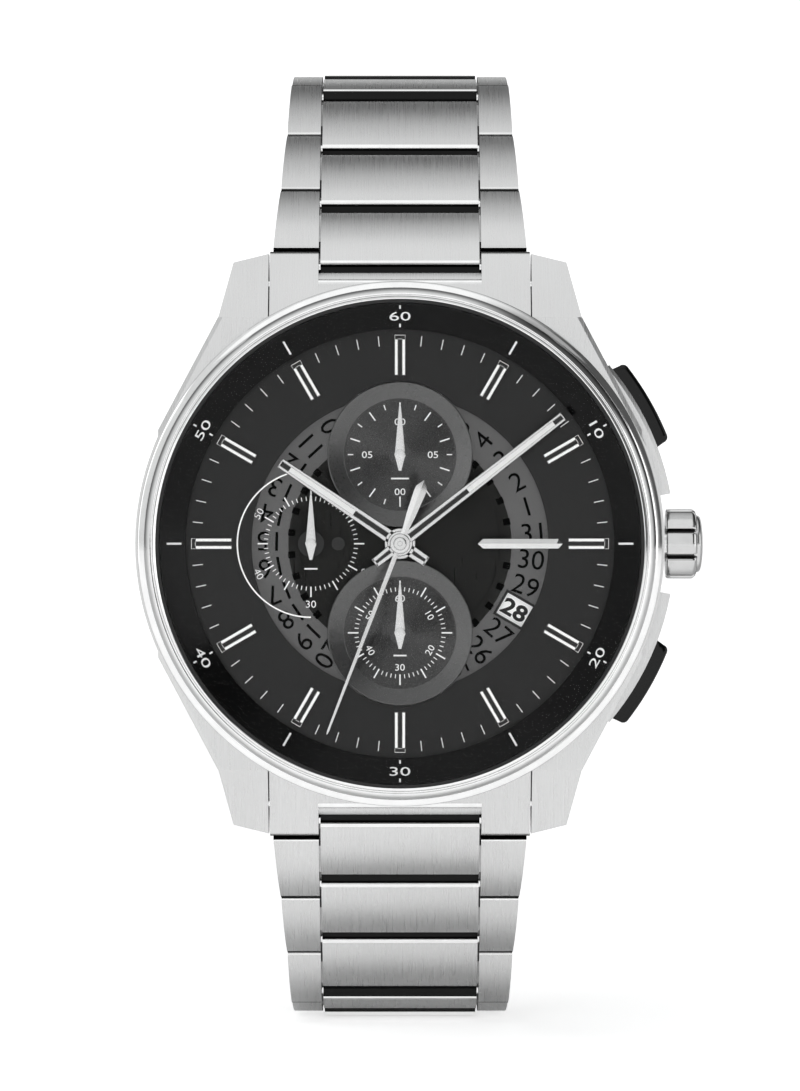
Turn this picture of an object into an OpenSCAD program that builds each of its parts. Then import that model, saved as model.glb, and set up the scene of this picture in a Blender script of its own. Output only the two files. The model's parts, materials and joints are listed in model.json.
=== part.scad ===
// Chronograph wristwatch on a steel H-link bracelet that closes with a butterfly clasp.
// Every module draws in the watch's own frame: x to 3 o'clock, y to 12 o'clock and z out of
// the dial, with z = 0 on the case back's outer face. upright() then stands the watch up, so
// that the dial faces -Y and 12 o'clock is +Z.

/* [Case] */
// Radius of the round middle case
case_r = 22.1; // [22:0.05:22.2]
// Width of the gap between the lugs
lug_gap = 22.1; // [22:0.05:22.2]
// Distance from the middle of the case to a lug's tip
lug_reach = 24.4; // [24.3:0.05:24.5]
// Height of the case's top face over the case back
case_top = 8.5; // [8.4:0.05:8.5]
// Outer radius of the bezel
bezel_r = 21.4; // [21.3:0.05:21.5]
// Radius of the crystal
crystal_r = 20.05; // [20:0.05:20.1]
// Outer radius of the case back
case_back_r = 18.2; // [18.1:0.05:18.2]

/* [Dial] */
// Outer radius of the dial
dial_r = 18.65; // [18.6:0.01:18.7]
// Radius of the round opening over the date ring
dial_opening_r = 12.4; // [12.3:0.05:12.5]
// Distance from the middle of the dial to each sub-dial's middle
subdial_offset = 7.45; // [7.4:0.01:7.5]
// Outer radius of a raised sub-dial
subdial_r = 6.1; // [6:0.05:6.1]
// Distance of the date window from the middle of the dial
date_window_at = 11.08; // [11:0.01:11.1]

/* [Hands] */
// Length of the hour hand
hour_len = 12.1; // [11:0.1:12.5]
// Length of the minute hand
minute_len = 17.3; // [16:0.1:17.4]
// Length of the seconds hand
seconds_len = 17.05; // [16:0.05:17.4]
// Length of a sub-dial hand
small_hand_len = 4.2; // [4:0.1:4.4]
// Clockwise angle of the hour hand from 12 o'clock at rest
hour_angle = 304; // [0:1:359]
// Clockwise angle of the minute hand from 12 o'clock at rest
minute_angle = 52; // [0:1:359]
// Clockwise angle of the seconds hand from 12 o'clock at rest
seconds_angle = 201; // [0:1:359]

/* [Crown and pushers] */
// Radius of the crown
crown_r = 3; // [2.9:0.05:3.05]
// Height of the crown's and pushers' axes over the case back
crown_z = 4.5; // [4.5:0.01:4.52]
// Angle of each pusher from 3 o'clock
pusher_angle = 30; // [29.5:0.5:30.5]
// Length of a pusher's cap along the case
pusher_len = 7.5; // [7.2:0.1:7.6]

/* [Bracelet] */
// Distance between the two pins of a link
pitch = 8.2; // [8.15:0.05:8.25]
// Thickness of a link
link_thick = 2.9; // [2.8:0.05:2.9]
// Width of the bracelet at the case
strap_wide = 21.4; // [21.2:0.1:21.5]
// Width of the bracelet at the clasp
strap_narrow = 18; // [17.8:0.1:18.2]
// Width of a link's centre piece
centre_w = 13.4; // [13.2:0.1:13.4]

/* [Hidden] */
$fn = 96;
eps = 0.01;

// Slope of each link below the plane of the dial, from the case to the clasp
link_slopes = [46, 51, 53, 80, 128, 157, 172, 178];
links = len(link_slopes);
link_r = link_thick / 2;
// Flat ends of a link stay this far from the pin that turns in the next link
end_gap = link_r + 0.15;
seam = 0.15;
leg_in = centre_w / 2 + seam;
pin_r = 0.5;
leg_bore_r = 0.51;
tongue_bore_r = 0.55;
// Hinge between the end link and the first link
strap_start = [23.2, 3];
spring_bar_at = [21.75, 4.98];
spring_bar_r = 0.5;

function step(i) = pitch * [cos(link_slopes[i]), -sin(link_slopes[i])];
function pivot(i) = i == 0 ? strap_start : pivot(i - 1) + step(i - 1);
function link_w(i) = max(strap_narrow, strap_wide - i * (strap_wide - strap_narrow) / 5);

// Butterfly clasp
leaf_tip = pivot(links);
leaf_hinge = leaf_tip + [12.93, 3.61];
leaf_half_w = 4.6;
knuckle_r = 1;
knuckle_half_w = 2.4;
clasp_pin_r = 0.45;
cover_half_len = leaf_tip[0] - link_r - 0.32;
cover_half_w = strap_narrow / 2;
cover_face_z = leaf_tip[1] - link_r;
plate_low_z = leaf_hinge[1] + 0.3;
plate_thick = 0.8;
button_half_len = 2.6;
button_half_h = 1.2;
button_z = (cover_face_z + plate_low_z) / 2;
button_proud = 0.9;
cover_wall = 1.2;

// Heights of the layers inside the case
case_bottom = 0.4;
back_thick = 0.9;
lip_top = 1.9;
cavity_r = 17.2;
bridge_z = 2;
bridge_thick = 0.6;
plate_z = 5.1;
plate_recess_z = 6;
plate_top = 6.5;
movement_r = 15.4;
dial_z = 7.2;
dial_top = 7.6;
window_z = 6.95;
window_top = 7.19;
date_z = 6.6;
hour_hand_z = 8.05;
minute_hand_z = 8.45;
seconds_hand_z = 8.85;
hand_thick = 0.2;
small_hand_z = 7.62;
crystal_z = 9.6;
crystal_thick = 1.5;

// Radii of the arbors, each running inside the next
seconds_arbor_r = 0.35;
cannon_r = 0.75;
hour_pipe_r = 1.15;
hour_seat_r = 0.95;
running_gap = 0.05;

// Going train: seconds pinion 8 to third wheel 60, third pinion 8 to centre wheel 64
seconds_pinion = 8;
third_teeth = 60;
third_pinion = 8;
centre_teeth = 64;
train_module = 0.2;
train_distance = (seconds_pinion + third_teeth) * train_module / 2;
centre_module = 2 * train_distance / (third_pinion + centre_teeth);
third_direction = 135;
third_at = train_distance * [cos(third_direction), sin(third_direction)];
// Motion work: cannon pinion 12 to minute wheel 36, its pinion 10 to hour wheel 40
cannon_teeth = 12;
minute_wheel_teeth = 36;
minute_pinion = 10;
hour_teeth = 40;
motion_module = 0.16;
motion_distance = (cannon_teeth + minute_wheel_teeth) * motion_module / 2;
hour_module = 2 * motion_distance / (minute_pinion + hour_teeth);
motion_direction = 45;
motion_at = motion_distance * [cos(motion_direction), sin(motion_direction)];
days = 31;

// Sub-dial middles: tenths at 12, minutes at 9 and seconds at 6 o'clock
tenths_at = [0, subdial_offset];
minutes_at = [-subdial_offset, 0];
counter_at = [0, -subdial_offset];
small_arbor_r = 0.2;
small_wheel_z = 4.6;
small_wheel_r = 2.2;

// Places of the parts around the movement
pillar_at = [[-13, 1.5], [12.5, -3.4], [2.5, -13.2], [-9.5, 10.5]];
battery_at = [7.9, -7.9];
battery_r = 3.4;
coil_at = [[8.5, 9], [-10.2, -7.5], [-3.5, -12.4], [3, 12.6]];
coil_half_len = 2.6;

crown_in = case_r + 0.25;
crown_out = 25.45;
stem_r = 0.5;
stem_end = 9.6;
groove_x = 12.8;
shoulder_r = case_r + 0.95;
pusher_half_h = 1.6;
pusher_in = shoulder_r - 0.1;
pusher_out = shoulder_r + 1.25;
pusher_travel = 0.9;
pusher_stem_r = 0.75;
tube_r = 1.2;
pusher_spring_end = pusher_in - pusher_travel - 0.1;

// ---------- helpers ----------

module upright() { rotate([90, 0, 0]) children(); }

// Extrudes a side profile, drawn as (y, z), along x
module across(w) { rotate([90, 0, 90]) linear_extrude(w, center = true) children(); }

module ring(r_out, r_in, h) {
    linear_extrude(h) difference() {
        circle(r_out);
        circle(r_in);
    }
}

module at_z(z) { translate([0, 0, z]) children(); }

module along_x(from, to, r) {
    translate([from, 0, 0]) rotate([0, 90, 0]) cylinder(h = to - from, r = r);
}

// Draws its child at 12 o'clock and again, mirrored, at 6 o'clock
module both_ends() {
    children();
    mirror([0, 1, 0]) children();
}

// Turns clockwise, as a hand does
module clockwise(a) { rotate([0, 0, -a]) children(); }

// One tooth is four points: half-widths are shares of the tooth pitch
function tooth(i, teeth, mod, lead) = let(
    r = teeth * mod / 2, turn = 360 / teeth, a = i * turn + lead,
    root = r - 1.15 * mod, tip = r + 0.85 * mod)
    [for (p = [[-0.27, root], [-0.11, tip], [0.11, tip], [0.27, root]])
        p[1] * [cos(a + p[0] * turn), sin(a + p[0] * turn)]];

// lead is the direction of the first tooth's middle
module gear(teeth, mod, h, lead = 0) {
    linear_extrude(h) polygon([for (i = [0:teeth - 1]) each tooth(i, teeth, mod, lead)]);
}

// A wheel rim and hub joined by spokes
module spokes(teeth, mod, h, count = 4) {
    rim = teeth * mod / 2 - 1.6 * mod - 0.25;
    difference() {
        children();
        for (i = [0:count - 1]) rotate([0, 0, i * 360 / count])
            at_z(-h) linear_extrude(3 * h) intersection() {
                difference() {
                    circle(rim);
                    circle(rim * 0.34);
                }
                translate([rim * 0.1, rim * 0.1]) square(rim);
            }
    }
}

// ---------- case ----------

flank_top = [case_r * 0.914, 9.5];
knee = [15.2, 18.9];
tip_x = 14;
tip_slant = 0.75;
flank_normal = atan2(flank_top[0] - knee[0], knee[1] - flank_top[1]);
flank_distance = flank_top[0] * cos(flank_normal) + flank_top[1] * sin(flank_normal);
facet_drop = 0.62;
facet_z = 7.8;
flank_chamfer = 0.35;

module case_outline() {
    circle(case_r);
    side = [flank_top, knee, [tip_x, lug_reach - tip_slant], [lug_gap / 2, lug_reach]];
    for (across = [0, 1], along = [0, 1]) mirror([across, 0]) mirror([0, along])
        polygon(concat([[0, 0]], side, [[0, lug_reach]]));
    polygon([flank_top, [flank_top[0], -flank_top[1]],
        [-flank_top[0], -flank_top[1]], [-flank_top[0], flank_top[1]]]);
}

// Everything above the sloping lug faces and under the lug tips
module lug_facets() {
    past = 30;
    across(80) polygon([[knee[1], facet_z], [past, facet_z - facet_drop * (past - knee[1])],
        [past, 20], [knee[1], 20]]);
    across(80) polygon([[21.5, -1], [21.5, case_bottom], [lug_reach, 1.9], [past, 1.9],
        [past, -1]]);
}

module flank_chamfers() {
    for (side = [0, 1]) mirror([side, 0, 0])
        rotate([0, 0, flank_normal])
            translate([flank_distance - flank_chamfer, 15, case_top])
                rotate([90, 0, 0]) linear_extrude(30)
                    polygon([[0, 0], [4, -4 * 0.6], [4, 3], [0, 3]]);
}

// Space between one pair of lugs, up to the round case wall
module lug_space() {
    case_wall_r = 20.9;
    difference() {
        translate([-lug_gap / 2, 10, -1]) cube([lug_gap, 20, 20]);
        at_z(-2) cylinder(h = 22, r = case_wall_r);
    }
}

// Raised band that houses a pusher beside the crown
module shoulder() {
    band = 40.5;
    start = 10.5;
    rotate([0, 0, start]) rotate_extrude(angle = band - start)
        polygon([[20.5, 2.3], [shoulder_r - 0.3, 2.3], [shoulder_r, 2.6],
            [shoulder_r, 6.6], [shoulder_r - 0.3, 6.9], [20.5, 6.9]]);
}

module pusher_pocket() {
    half = pusher_len / 2 + 0.12;
    intersection() {
        at_z(crown_z - pusher_half_h - 0.1)
            ring(shoulder_r + 2, pusher_in - pusher_travel - 0.05, 2 * pusher_half_h + 0.2);
        translate([15, -half, 0]) cube([15, 2 * half, 10]);
    }
    at_z(crown_z) along_x(16, 24, tube_r + eps);
}

module case_cavity() {
    at_z(case_bottom - 1) cylinder(h = back_thick - case_bottom + 1, r = case_back_r + 0.1);
    at_z(back_thick - 0.5) cylinder(h = 3, r = 15.8);
    at_z(lip_top) cylinder(h = dial_z - lip_top, r = cavity_r);
    at_z(dial_z) cylinder(h = 5, r = dial_r + 0.15);
    at_z(back_thick - eps) ring(16.5, 15.95, 0.3);
    for (a = [45:90:315]) rotate([0, 0, a])
        translate([17.3, 0, back_thick - 0.1]) cylinder(h = 0.95, r = 0.41);
}

module mid_case() {
    color("silver") upright() difference() {
        union() {
            at_z(case_bottom) linear_extrude(case_top - case_bottom) case_outline();
            for (side = [0, 1]) mirror([0, side, 0]) shoulder();
        }
        both_ends() {
            lug_facets();
            flank_chamfers();
            lug_space();
            translate([0, spring_bar_at[0], spring_bar_at[1]])
                along_x(-12.2, 12.2, 0.42);
        }
        case_cavity();
        at_z(crown_z) along_x(16, 24, 1.31);
        for (side = [-1, 1]) rotate([0, 0, side * pusher_angle]) pusher_pocket();
    }
}

module bezel() {
    color("gainsboro") upright() rotate_extrude()
        polygon([[crystal_r + 0.3, case_top], [bezel_r + 0.5, case_top],
            [bezel_r + 0.5, case_top + 0.5], [bezel_r + 0.1, case_top + 0.8],
            [bezel_r, case_top + 1.5], [bezel_r - 0.45, case_top + 2.3],
            [crystal_r + 0.3, case_top + 2.45]]);
}

module crystal() {
    edge = 0.35;
    color("lightblue", 0.3) upright() rotate_extrude()
        polygon([[0, crystal_z], [crystal_r, crystal_z],
            [crystal_r, crystal_z + crystal_thick - edge],
            [crystal_r - edge, crystal_z + crystal_thick], [0, crystal_z + crystal_thick]]);
}

module flange_ring() {
    seat = crystal_r + 0.2;
    color("black") upright() rotate_extrude()
        polygon([[17.9, dial_top], [dial_r + 0.05, dial_top], [dial_r + 0.05, case_top + 0.05],
            [seat, case_top + 0.05], [seat, crystal_z - 0.05], [crystal_r, crystal_z - 0.05],
            [17.9, dial_top + 0.25]]);
}

module case_back() {
    plug_r = 15.7;
    color("silver") upright() difference() {
        union() {
            cylinder(h = back_thick, r = case_back_r);
            at_z(back_thick) ring(plug_r, plug_r - 1.2, 0.5);
        }
        for (a = [45:90:315]) rotate([0, 0, a]) translate([17.3, 0, 0]) {
            at_z(-1) cylinder(h = 3, r = 0.43);
            at_z(-1) cylinder(h = 1.45, r = 0.78);
        }
        // six shallow notches for the case wrench
        for (a = [0:60:300]) rotate([0, 0, a]) translate([14.2, -0.9, -1])
            cube([1.6, 1.8, 1.4]);
    }
}

module gaskets() {
    color("dimgray") upright() {
        at_z(back_thick + 0.01) ring(16.45, 16, 0.28);
        at_z(crystal_z) ring(crystal_r + 0.28, crystal_r + 0.02, 1.1);
    }
}

module case_back_screws() {
    color("gray") upright() for (a = [45:90:315]) rotate([0, 0, a])
        translate([17.3, 0, 0]) difference() {
            union() {
                at_z(0.05) cylinder(h = 0.39, r = 0.75);
                at_z(0.4) cylinder(h = 1.2, r = 0.4);
            }
            translate([-1, -0.1, -0.2]) cube([2, 0.2, 0.45]);
        }
}

module case_tubes() {
    color("gray") upright() {
        at_z(crown_z) difference() {
            along_x(18.4, case_r + 0.45, 1.3);
            along_x(18, 24, stem_r + 0.06);
        }
        for (side = [-1, 1]) rotate([0, 0, side * pusher_angle]) at_z(crown_z)
            difference() {
                along_x(17.4, pusher_spring_end - 1.4, tube_r);
                along_x(17, 23, pusher_stem_r + 0.06);
            }
    }
}

module movement_holder() {
    color("lightgray") upright() difference() {
        at_z(lip_top + 0.05) ring(cavity_r - 0.1, movement_r + 0.1, dial_z - lip_top - 0.15);
        at_z(crown_z) along_x(14, 19, 1);
        for (side = [-1, 1]) rotate([0, 0, side * pusher_angle]) at_z(crown_z)
            along_x(14, 19, 1);
    }
}

// ---------- dial ----------

module dial() {
    color("#303030") upright() at_z(dial_z) linear_extrude(dial_top - dial_z) difference() {
        circle(dial_r);
        circle(dial_opening_r);
        for (p = [tenths_at, counter_at]) translate(p) circle(subdial_r + 0.05);
    }
}

module dial_center() {
    color("#505050", 0.6) upright() at_z(window_z) linear_extrude(window_top - window_z)
        difference() {
            circle(dial_opening_r + 0.6);
            circle(hour_pipe_r + 0.1);
            for (p = [tenths_at, minutes_at, counter_at]) translate(p)
                circle(small_arbor_r + 0.1);
            rotate(-30) translate([date_window_at, 0]) square([2.4, 1.95], center = true);
        }
}

module marker() {
    inner = 14.07;
    len = 3.4;
    for (side = [-1, 1]) translate([inner, side * 0.33 - 0.17, dial_top])
        cube([len, 0.34, 0.35]);
}

// Twelve double batons, and a plain hexagonal bar beside 3 o'clock
module hour_markers() {
    color("white") upright() {
        for (a = [0:30:330]) rotate([0, 0, a]) marker();
        difference() {
            at_z(dial_top + eps) linear_extrude(0.25)
                polygon([[6.6, 0], [7.3, 0.6], [13, 0.6], [13.7, 0], [13, -0.6], [7.3, -0.6]]);
            at_z(dial_top + 0.13) linear_extrude(1)
                polygon([[7.1, 0], [7.5, 0.3], [12.8, 0.3], [13.2, 0], [12.8, -0.3],
                    [7.5, -0.3]]);
        }
        for (x = [8.2, 11.4]) translate([x, 0, window_top])
            cylinder(h = dial_top + 0.05 - window_top, r = 0.22);
    }
}

module subdial_rings() {
    floor_r = 4.7;
    color("#3a3a3a") upright() for (p = [tenths_at, counter_at]) translate(p)
        rotate_extrude() polygon([[small_arbor_r + 0.1, dial_z], [subdial_r, dial_z],
            [subdial_r, 7.93], [subdial_r - 0.12, 7.97], [floor_r, 7.5],
            [small_arbor_r + 0.1, 7.5]]);
}

// ---------- hands ----------

// A slotted baton on a round hub
module baton(len, w, tail, h, hub_r, bore_r) {
    linear_extrude(h) difference() {
        union() {
            circle(hub_r);
            polygon([[-0.42 * w, -tail], [0.42 * w, -tail], [0.5 * w, 0],
                [0.42 * w, len - 0.35], [0, len], [-0.42 * w, len - 0.35], [-0.5 * w, 0]]);
        }
        circle(bore_r);
        translate([-0.11 * w, 1.5]) square([0.22 * w, len - 2.3]);
    }
}

module hour_hand() {
    color("white") upright() clockwise(hour_angle) at_z(hour_hand_z)
        baton(hour_len, 1.1, 2.7, hand_thick, 1.3, hour_seat_r);
}

module minute_hand() {
    color("white") upright() clockwise(minute_angle) at_z(minute_hand_z)
        baton(minute_len, 1, 2.7, hand_thick, 1.05, cannon_r);
}

module seconds_hand() {
    color("white") upright() clockwise(seconds_angle) at_z(seconds_hand_z) difference() {
        union() {
            linear_extrude(0.15) {
                circle(0.8);
                polygon([[-0.17, 0], [-0.09, seconds_len - 0.3], [0, seconds_len],
                    [0.09, seconds_len - 0.3], [0.17, 0], [0.42, -4.9], [0, -5.66],
                    [-0.42, -4.9]]);
            }
            cylinder(h = 0.4, r = 0.55);
        }
        at_z(-1) cylinder(h = 1.15, r = seconds_arbor_r);
    }
}

// A sub-dial hand on its own arbor, with the wheel that its motor drives
module small_hand(at, angle) {
    tail = 1.35;
    color("white") upright() translate(at) {
        clockwise(angle) at_z(small_hand_z) linear_extrude(0.12) {
            circle(0.45);
            polygon([[-0.1, -tail], [0.1, -tail], [0.42, 0], [0, small_hand_len], [-0.42, 0]]);
        }
        at_z(small_wheel_z - 0.8) cylinder(h = small_hand_z - small_wheel_z + 0.8,
            r = small_arbor_r);
        at_z(small_wheel_z) gear(48, 2 * small_wheel_r / 50, 0.22);
    }
}

module tenths_hand() { small_hand(tenths_at, 0); }
module minute_counter_hand() { small_hand(minutes_at, 0); }
module second_counter_hand() { small_hand(counter_at, 0); }

// ---------- movement ----------

module main_plate() {
    pocket_r = 8.4;
    color("goldenrod") upright() difference() {
        union() {
            at_z(plate_z) cylinder(h = plate_top - plate_z, r = movement_r);
            for (p = pillar_at) translate([p[0], p[1], bridge_z + bridge_thick])
                cylinder(h = plate_z - bridge_z - bridge_thick + eps, r = 1);
        }
        at_z(plate_recess_z) difference() {
            cylinder(h = 2, r = pocket_r);
            translate([motion_at[0], motion_at[1], -1]) cylinder(h = 4, r = 0.3);
        }
        at_z(plate_z - 1) cylinder(h = 3, r = cannon_r + running_gap);
        for (p = [tenths_at, minutes_at, counter_at, third_at])
            translate([p[0], p[1], plate_z - 1]) cylinder(h = 3, r = small_arbor_r + 0.06);
        for (p = pillar_at) translate([p[0], p[1], 0]) cylinder(h = 5.6, r = 0.42);
    }
}

module train_bridge() {
    color("goldenrod") upright() at_z(bridge_z) linear_extrude(bridge_thick) difference() {
        circle(movement_r - 0.1);
        circle(seconds_arbor_r - 0.09);
        translate(third_at) circle(small_arbor_r + 0.06);
        translate(battery_at) circle(battery_r + 0.15);
        for (p = pillar_at) translate(p) circle(0.42);
    }
}

module circuit_board() {
    color("darkgreen") upright() {
        at_z(1.7) linear_extrude(0.2) difference() {
            circle(movement_r - 0.6);
            circle(1.5);
            translate(third_at) circle(1);
            translate(battery_at) circle(battery_r + 0.15);
            for (p = pillar_at) translate(p) circle(1.05);
        }
        // quartz crystal can and the control chip
        translate([-5, -1.2, 1.15]) cube([4, 2.2, 0.54]);
        translate([-2.5, 6, 1.56]) rotate([0, 90, 0]) cylinder(h = 5, r = 0.13);
    }
}

module motor_coils() {
    color("chocolate") upright() for (p = coil_at)
        translate([p[0], p[1], 3.85]) rotate([0, 0, atan2(p[1], p[0]) + 90]) {
            along_x(-coil_half_len, coil_half_len, 0.95);
            for (side = [-1, 1]) translate([side * (coil_half_len + 0.35), 0, 0])
                cube([0.68, 2.2, 2.2], center = true);
        }
}

module battery() {
    color("silver") upright() translate([battery_at[0], battery_at[1], 0]) {
        at_z(1.75) cylinder(h = 2.3, r = battery_r);
        at_z(1.5) cylinder(h = 0.25, r = battery_r - 0.6);
    }
}

module movement_screws() {
    color("gray") upright() for (p = pillar_at) translate([p[0], p[1], 0]) difference() {
        union() {
            at_z(1.5) cylinder(h = 0.49, r = 0.9);
            at_z(1.9) cylinder(h = 3.4, r = 0.4);
        }
        translate([-1, -0.1, 1.3]) cube([2, 0.2, 0.4]);
    }
}

module date_ring() {
    outer = 13;
    inner = 9.35;
    function date_tooth(i) = let(turn = 360 / days, a = i * turn)
        [for (p = [[-0.5, inner], [-0.18, inner], [-0.1, inner - 0.55], [0.1, inner - 0.55],
            [0.18, inner]]) p[1] * [cos(a + p[0] * turn), sin(a + p[0] * turn)]];
    color("white") upright() at_z(date_z) linear_extrude(0.25) difference() {
        circle(outer);
        polygon([for (i = [0:days - 1]) each date_tooth(i)]);
    }
}

module hour_wheel() {
    z = plate_recess_z + 0.45;
    color("gold") upright() difference() {
        union() {
            at_z(z) gear(hour_teeth, hour_module, 0.3,
                motion_direction + 180 / hour_teeth);
            at_z(z) cylinder(h = hour_hand_z - z, r = hour_pipe_r);
            at_z(hour_hand_z) cylinder(h = hand_thick, r = hour_seat_r);
        }
        cylinder(h = 10, r = cannon_r + running_gap);
    }
}

module center_wheel() {
    z = 3.9;
    color("gold") upright() difference() {
        union() {
            spokes(centre_teeth, centre_module, 0.25)
                at_z(z) gear(centre_teeth, centre_module, 0.25,
                    third_direction + 180 / centre_teeth);
            at_z(z) cylinder(h = minute_hand_z + hand_thick - z, r = cannon_r);
            at_z(plate_recess_z + 0.05) gear(cannon_teeth, motion_module, 0.3,
                motion_direction + 180 / cannon_teeth);
        }
        at_z(-1) cylinder(h = 12, r = seconds_arbor_r + 0.07);
    }
}

module seconds_wheel() {
    color("gold") upright() {
        at_z(bridge_z + bridge_thick + 0.1) cylinder(h = seconds_hand_z + 0.1
            - bridge_z - bridge_thick - 0.1, r = seconds_arbor_r);
        at_z(bridge_z + 0.1) cylinder(h = 0.7, r = 0.2);
        at_z(2.72) gear(seconds_pinion, train_module, 0.55,
            third_direction + 180 / seconds_pinion);
        at_z(3.4) gear(60, 0.115, 0.2);
    }
}

module minute_wheel() {
    low = plate_recess_z + 0.05;
    color("gold") upright() translate([motion_at[0], motion_at[1], 0]) difference() {
        union() {
            at_z(low) gear(minute_wheel_teeth, motion_module, 0.3, motion_direction + 180);
            at_z(low + 0.29) gear(minute_pinion, hour_module, 0.42, motion_direction + 180);
        }
        cylinder(h = 10, r = 0.3 + running_gap);
    }
}

module third_wheel() {
    color("gold") upright() translate([third_at[0], third_at[1], 0]) {
        at_z(bridge_z + 0.1) cylinder(h = plate_z + 0.8 - bridge_z - 0.1, r = small_arbor_r);
        at_z(2.85) gear(third_teeth, train_module, 0.25, third_direction + 180);
        at_z(3.7) gear(third_pinion, centre_module, 0.75, third_direction + 180);
    }
}

// ---------- crown and pushers ----------

module crown() {
    flutes = 8;
    color("gainsboro") upright() at_z(crown_z) difference() {
        union() {
            translate([crown_in, 0, 0]) rotate([0, 90, 0]) rotate_extrude()
                polygon([[0, 0], [crown_r - 0.15, 0], [crown_r, 0.15], [crown_r, 2.25],
                    [crown_r - 0.25, 2.6], [2.35, 2.6], [2.3, 2.85],
                    [2.05, crown_out - crown_in], [0, crown_out - crown_in]]);
        }
        for (i = [0:flutes - 1]) rotate([(i + 0.5) * 360 / flutes, 0, 0])
            translate([0, 0, crown_r + 0.05]) along_x(crown_in - 1, crown_in + 2.9, 0.32);
        along_x(crown_in - 1, crown_in + 0.75, 1.5);
        along_x(crown_in, 24.05, stem_r + eps);
    }
}

module stem() {
    color("gray") upright() at_z(crown_z) difference() {
        union() {
            along_x(stem_end, 24, stem_r);
            along_x(stem_end + 0.2, stem_end + 1.4, 0.56);
        }
        difference() {
            along_x(groove_x, groove_x + 0.5, 1);
            along_x(groove_x - 1, groove_x + 1.5, 0.36);
        }
    }
}

// Clip in the stem's groove that slides with the stem and clicks into each position
module stem_detent() {
    color("gray") upright() at_z(crown_z) difference() {
        union() {
            translate([groove_x + 0.1, -0.8, -0.8]) cube([0.3, 3.2, 1.3]);
            translate([groove_x - 1.9, 1.6, -0.8]) cube([2.1, 0.8, 0.25]);
        }
        along_x(groove_x - 1, groove_x + 1, 0.42);
        translate([groove_x, -2, -0.42]) cube([1, 2, 0.84]);
    }
}

// The cap is a piece of a ring around the watch, so that it follows the case
module pusher() {
    half = pusher_len / 2;
    top = crown_z + pusher_half_h;
    low = crown_z - pusher_half_h;
    intersection() {
        rotate_extrude() polygon([[pusher_in, low], [pusher_out - 0.3, low],
            [pusher_out, low + 0.3], [pusher_out, top - 0.3], [pusher_out - 0.3, top],
            [pusher_in, top]]);
        at_z(low - 1) linear_extrude(2 * pusher_half_h + 2)
            polygon([[20, -half], [pusher_out - 0.55, -half], [30, -half + 3],
                [30, half - 3], [pusher_out - 0.55, half], [20, half]]);
    }
    at_z(crown_z) along_x(16.4, pusher_in + 0.2, pusher_stem_r);
}

module upper_pusher() { color("#151515") upright() rotate([0, 0, pusher_angle]) pusher(); }
module lower_pusher() { color("#151515") upright() rotate([0, 0, -pusher_angle]) pusher(); }

// A coil along x, as a tube of small polygons swept round a helix
module coil(len, r, wire, turns) {
    steps = 14;
    sides = 5;
    n = steps * turns;
    points = [for (i = [0:n]) for (k = [0:sides - 1]) let(
        a = i * 360 / steps, b = k * 360 / sides, q = r + wire * cos(b))
        [len * i / n + wire * sin(b), q * cos(a), q * sin(a)]];
    walls = [for (i = [0:n - 1]) for (k = [0:sides - 1]) let(
        a = i * sides + k, b = i * sides + (k + 1) % sides)
        [a, b, b + sides, a + sides]];
    polyhedron(points, concat([[for (k = [sides - 1:-1:0]) k]], walls,
        [[for (k = [0:sides - 1]) n * sides + k]]), convexity = 4);
}

module pusher_springs() {
    len = 1.1;
    color("gray") upright() for (side = [-1, 1]) rotate([0, 0, side * pusher_angle])
        translate([pusher_spring_end - len - 0.1, 0, crown_z]) coil(len, 0.96, 0.1, 3);
}

// ---------- bracelet ----------

// Side profile of a bar between two pins, rounded at one or both ends
module round_bar(from, to, round_from, round_to) {
    translate([from, -link_r]) square([to - from, link_thick]);
    if (round_from) translate([from, 0]) circle(link_r);
    if (round_to) translate([to, 0]) circle(link_r);
}

// A rigid H: the centre piece has a tongue at the near pin, the outer pieces end in legs
// that hold the far pin
module link(i, held = true) {
    w = link_w(i);
    leg_w = w / 2 - leg_in;
    difference() {
        union() {
            across(centre_w) round_bar(0, pitch - end_gap, true, false);
            for (side = [-1, 1]) translate([side * (leg_in + leg_w / 2), 0, 0])
                across(leg_w) round_bar(end_gap, pitch, false, true);
            translate([0, pitch / 2, 0]) cube([2 * leg_in + 1, 3.4, 1.9], center = true);
        }
        along_x(-15, 15, tongue_bore_r);
        translate([0, pitch, 0]) along_x(-15, 15, leg_bore_r);
    }
    if (held) translate([0, pitch, 0]) along_x(-w / 2 + 0.3, w / 2 - 0.3, pin_r);
}

module on_strand(i) {
    translate([0, pivot(i)[0], pivot(i)[1]]) rotate([-link_slopes[i], 0, 0]) children();
}

module upper_link(i) { color("silver") upright() on_strand(i) link(i); }

// The last lower link has no pin: its place is taken by the bar in the lower leaf
module lower_link(i) {
    color("silver") upright() mirror([0, 1, 0]) on_strand(i) link(i, i < links - 1);
}

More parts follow.
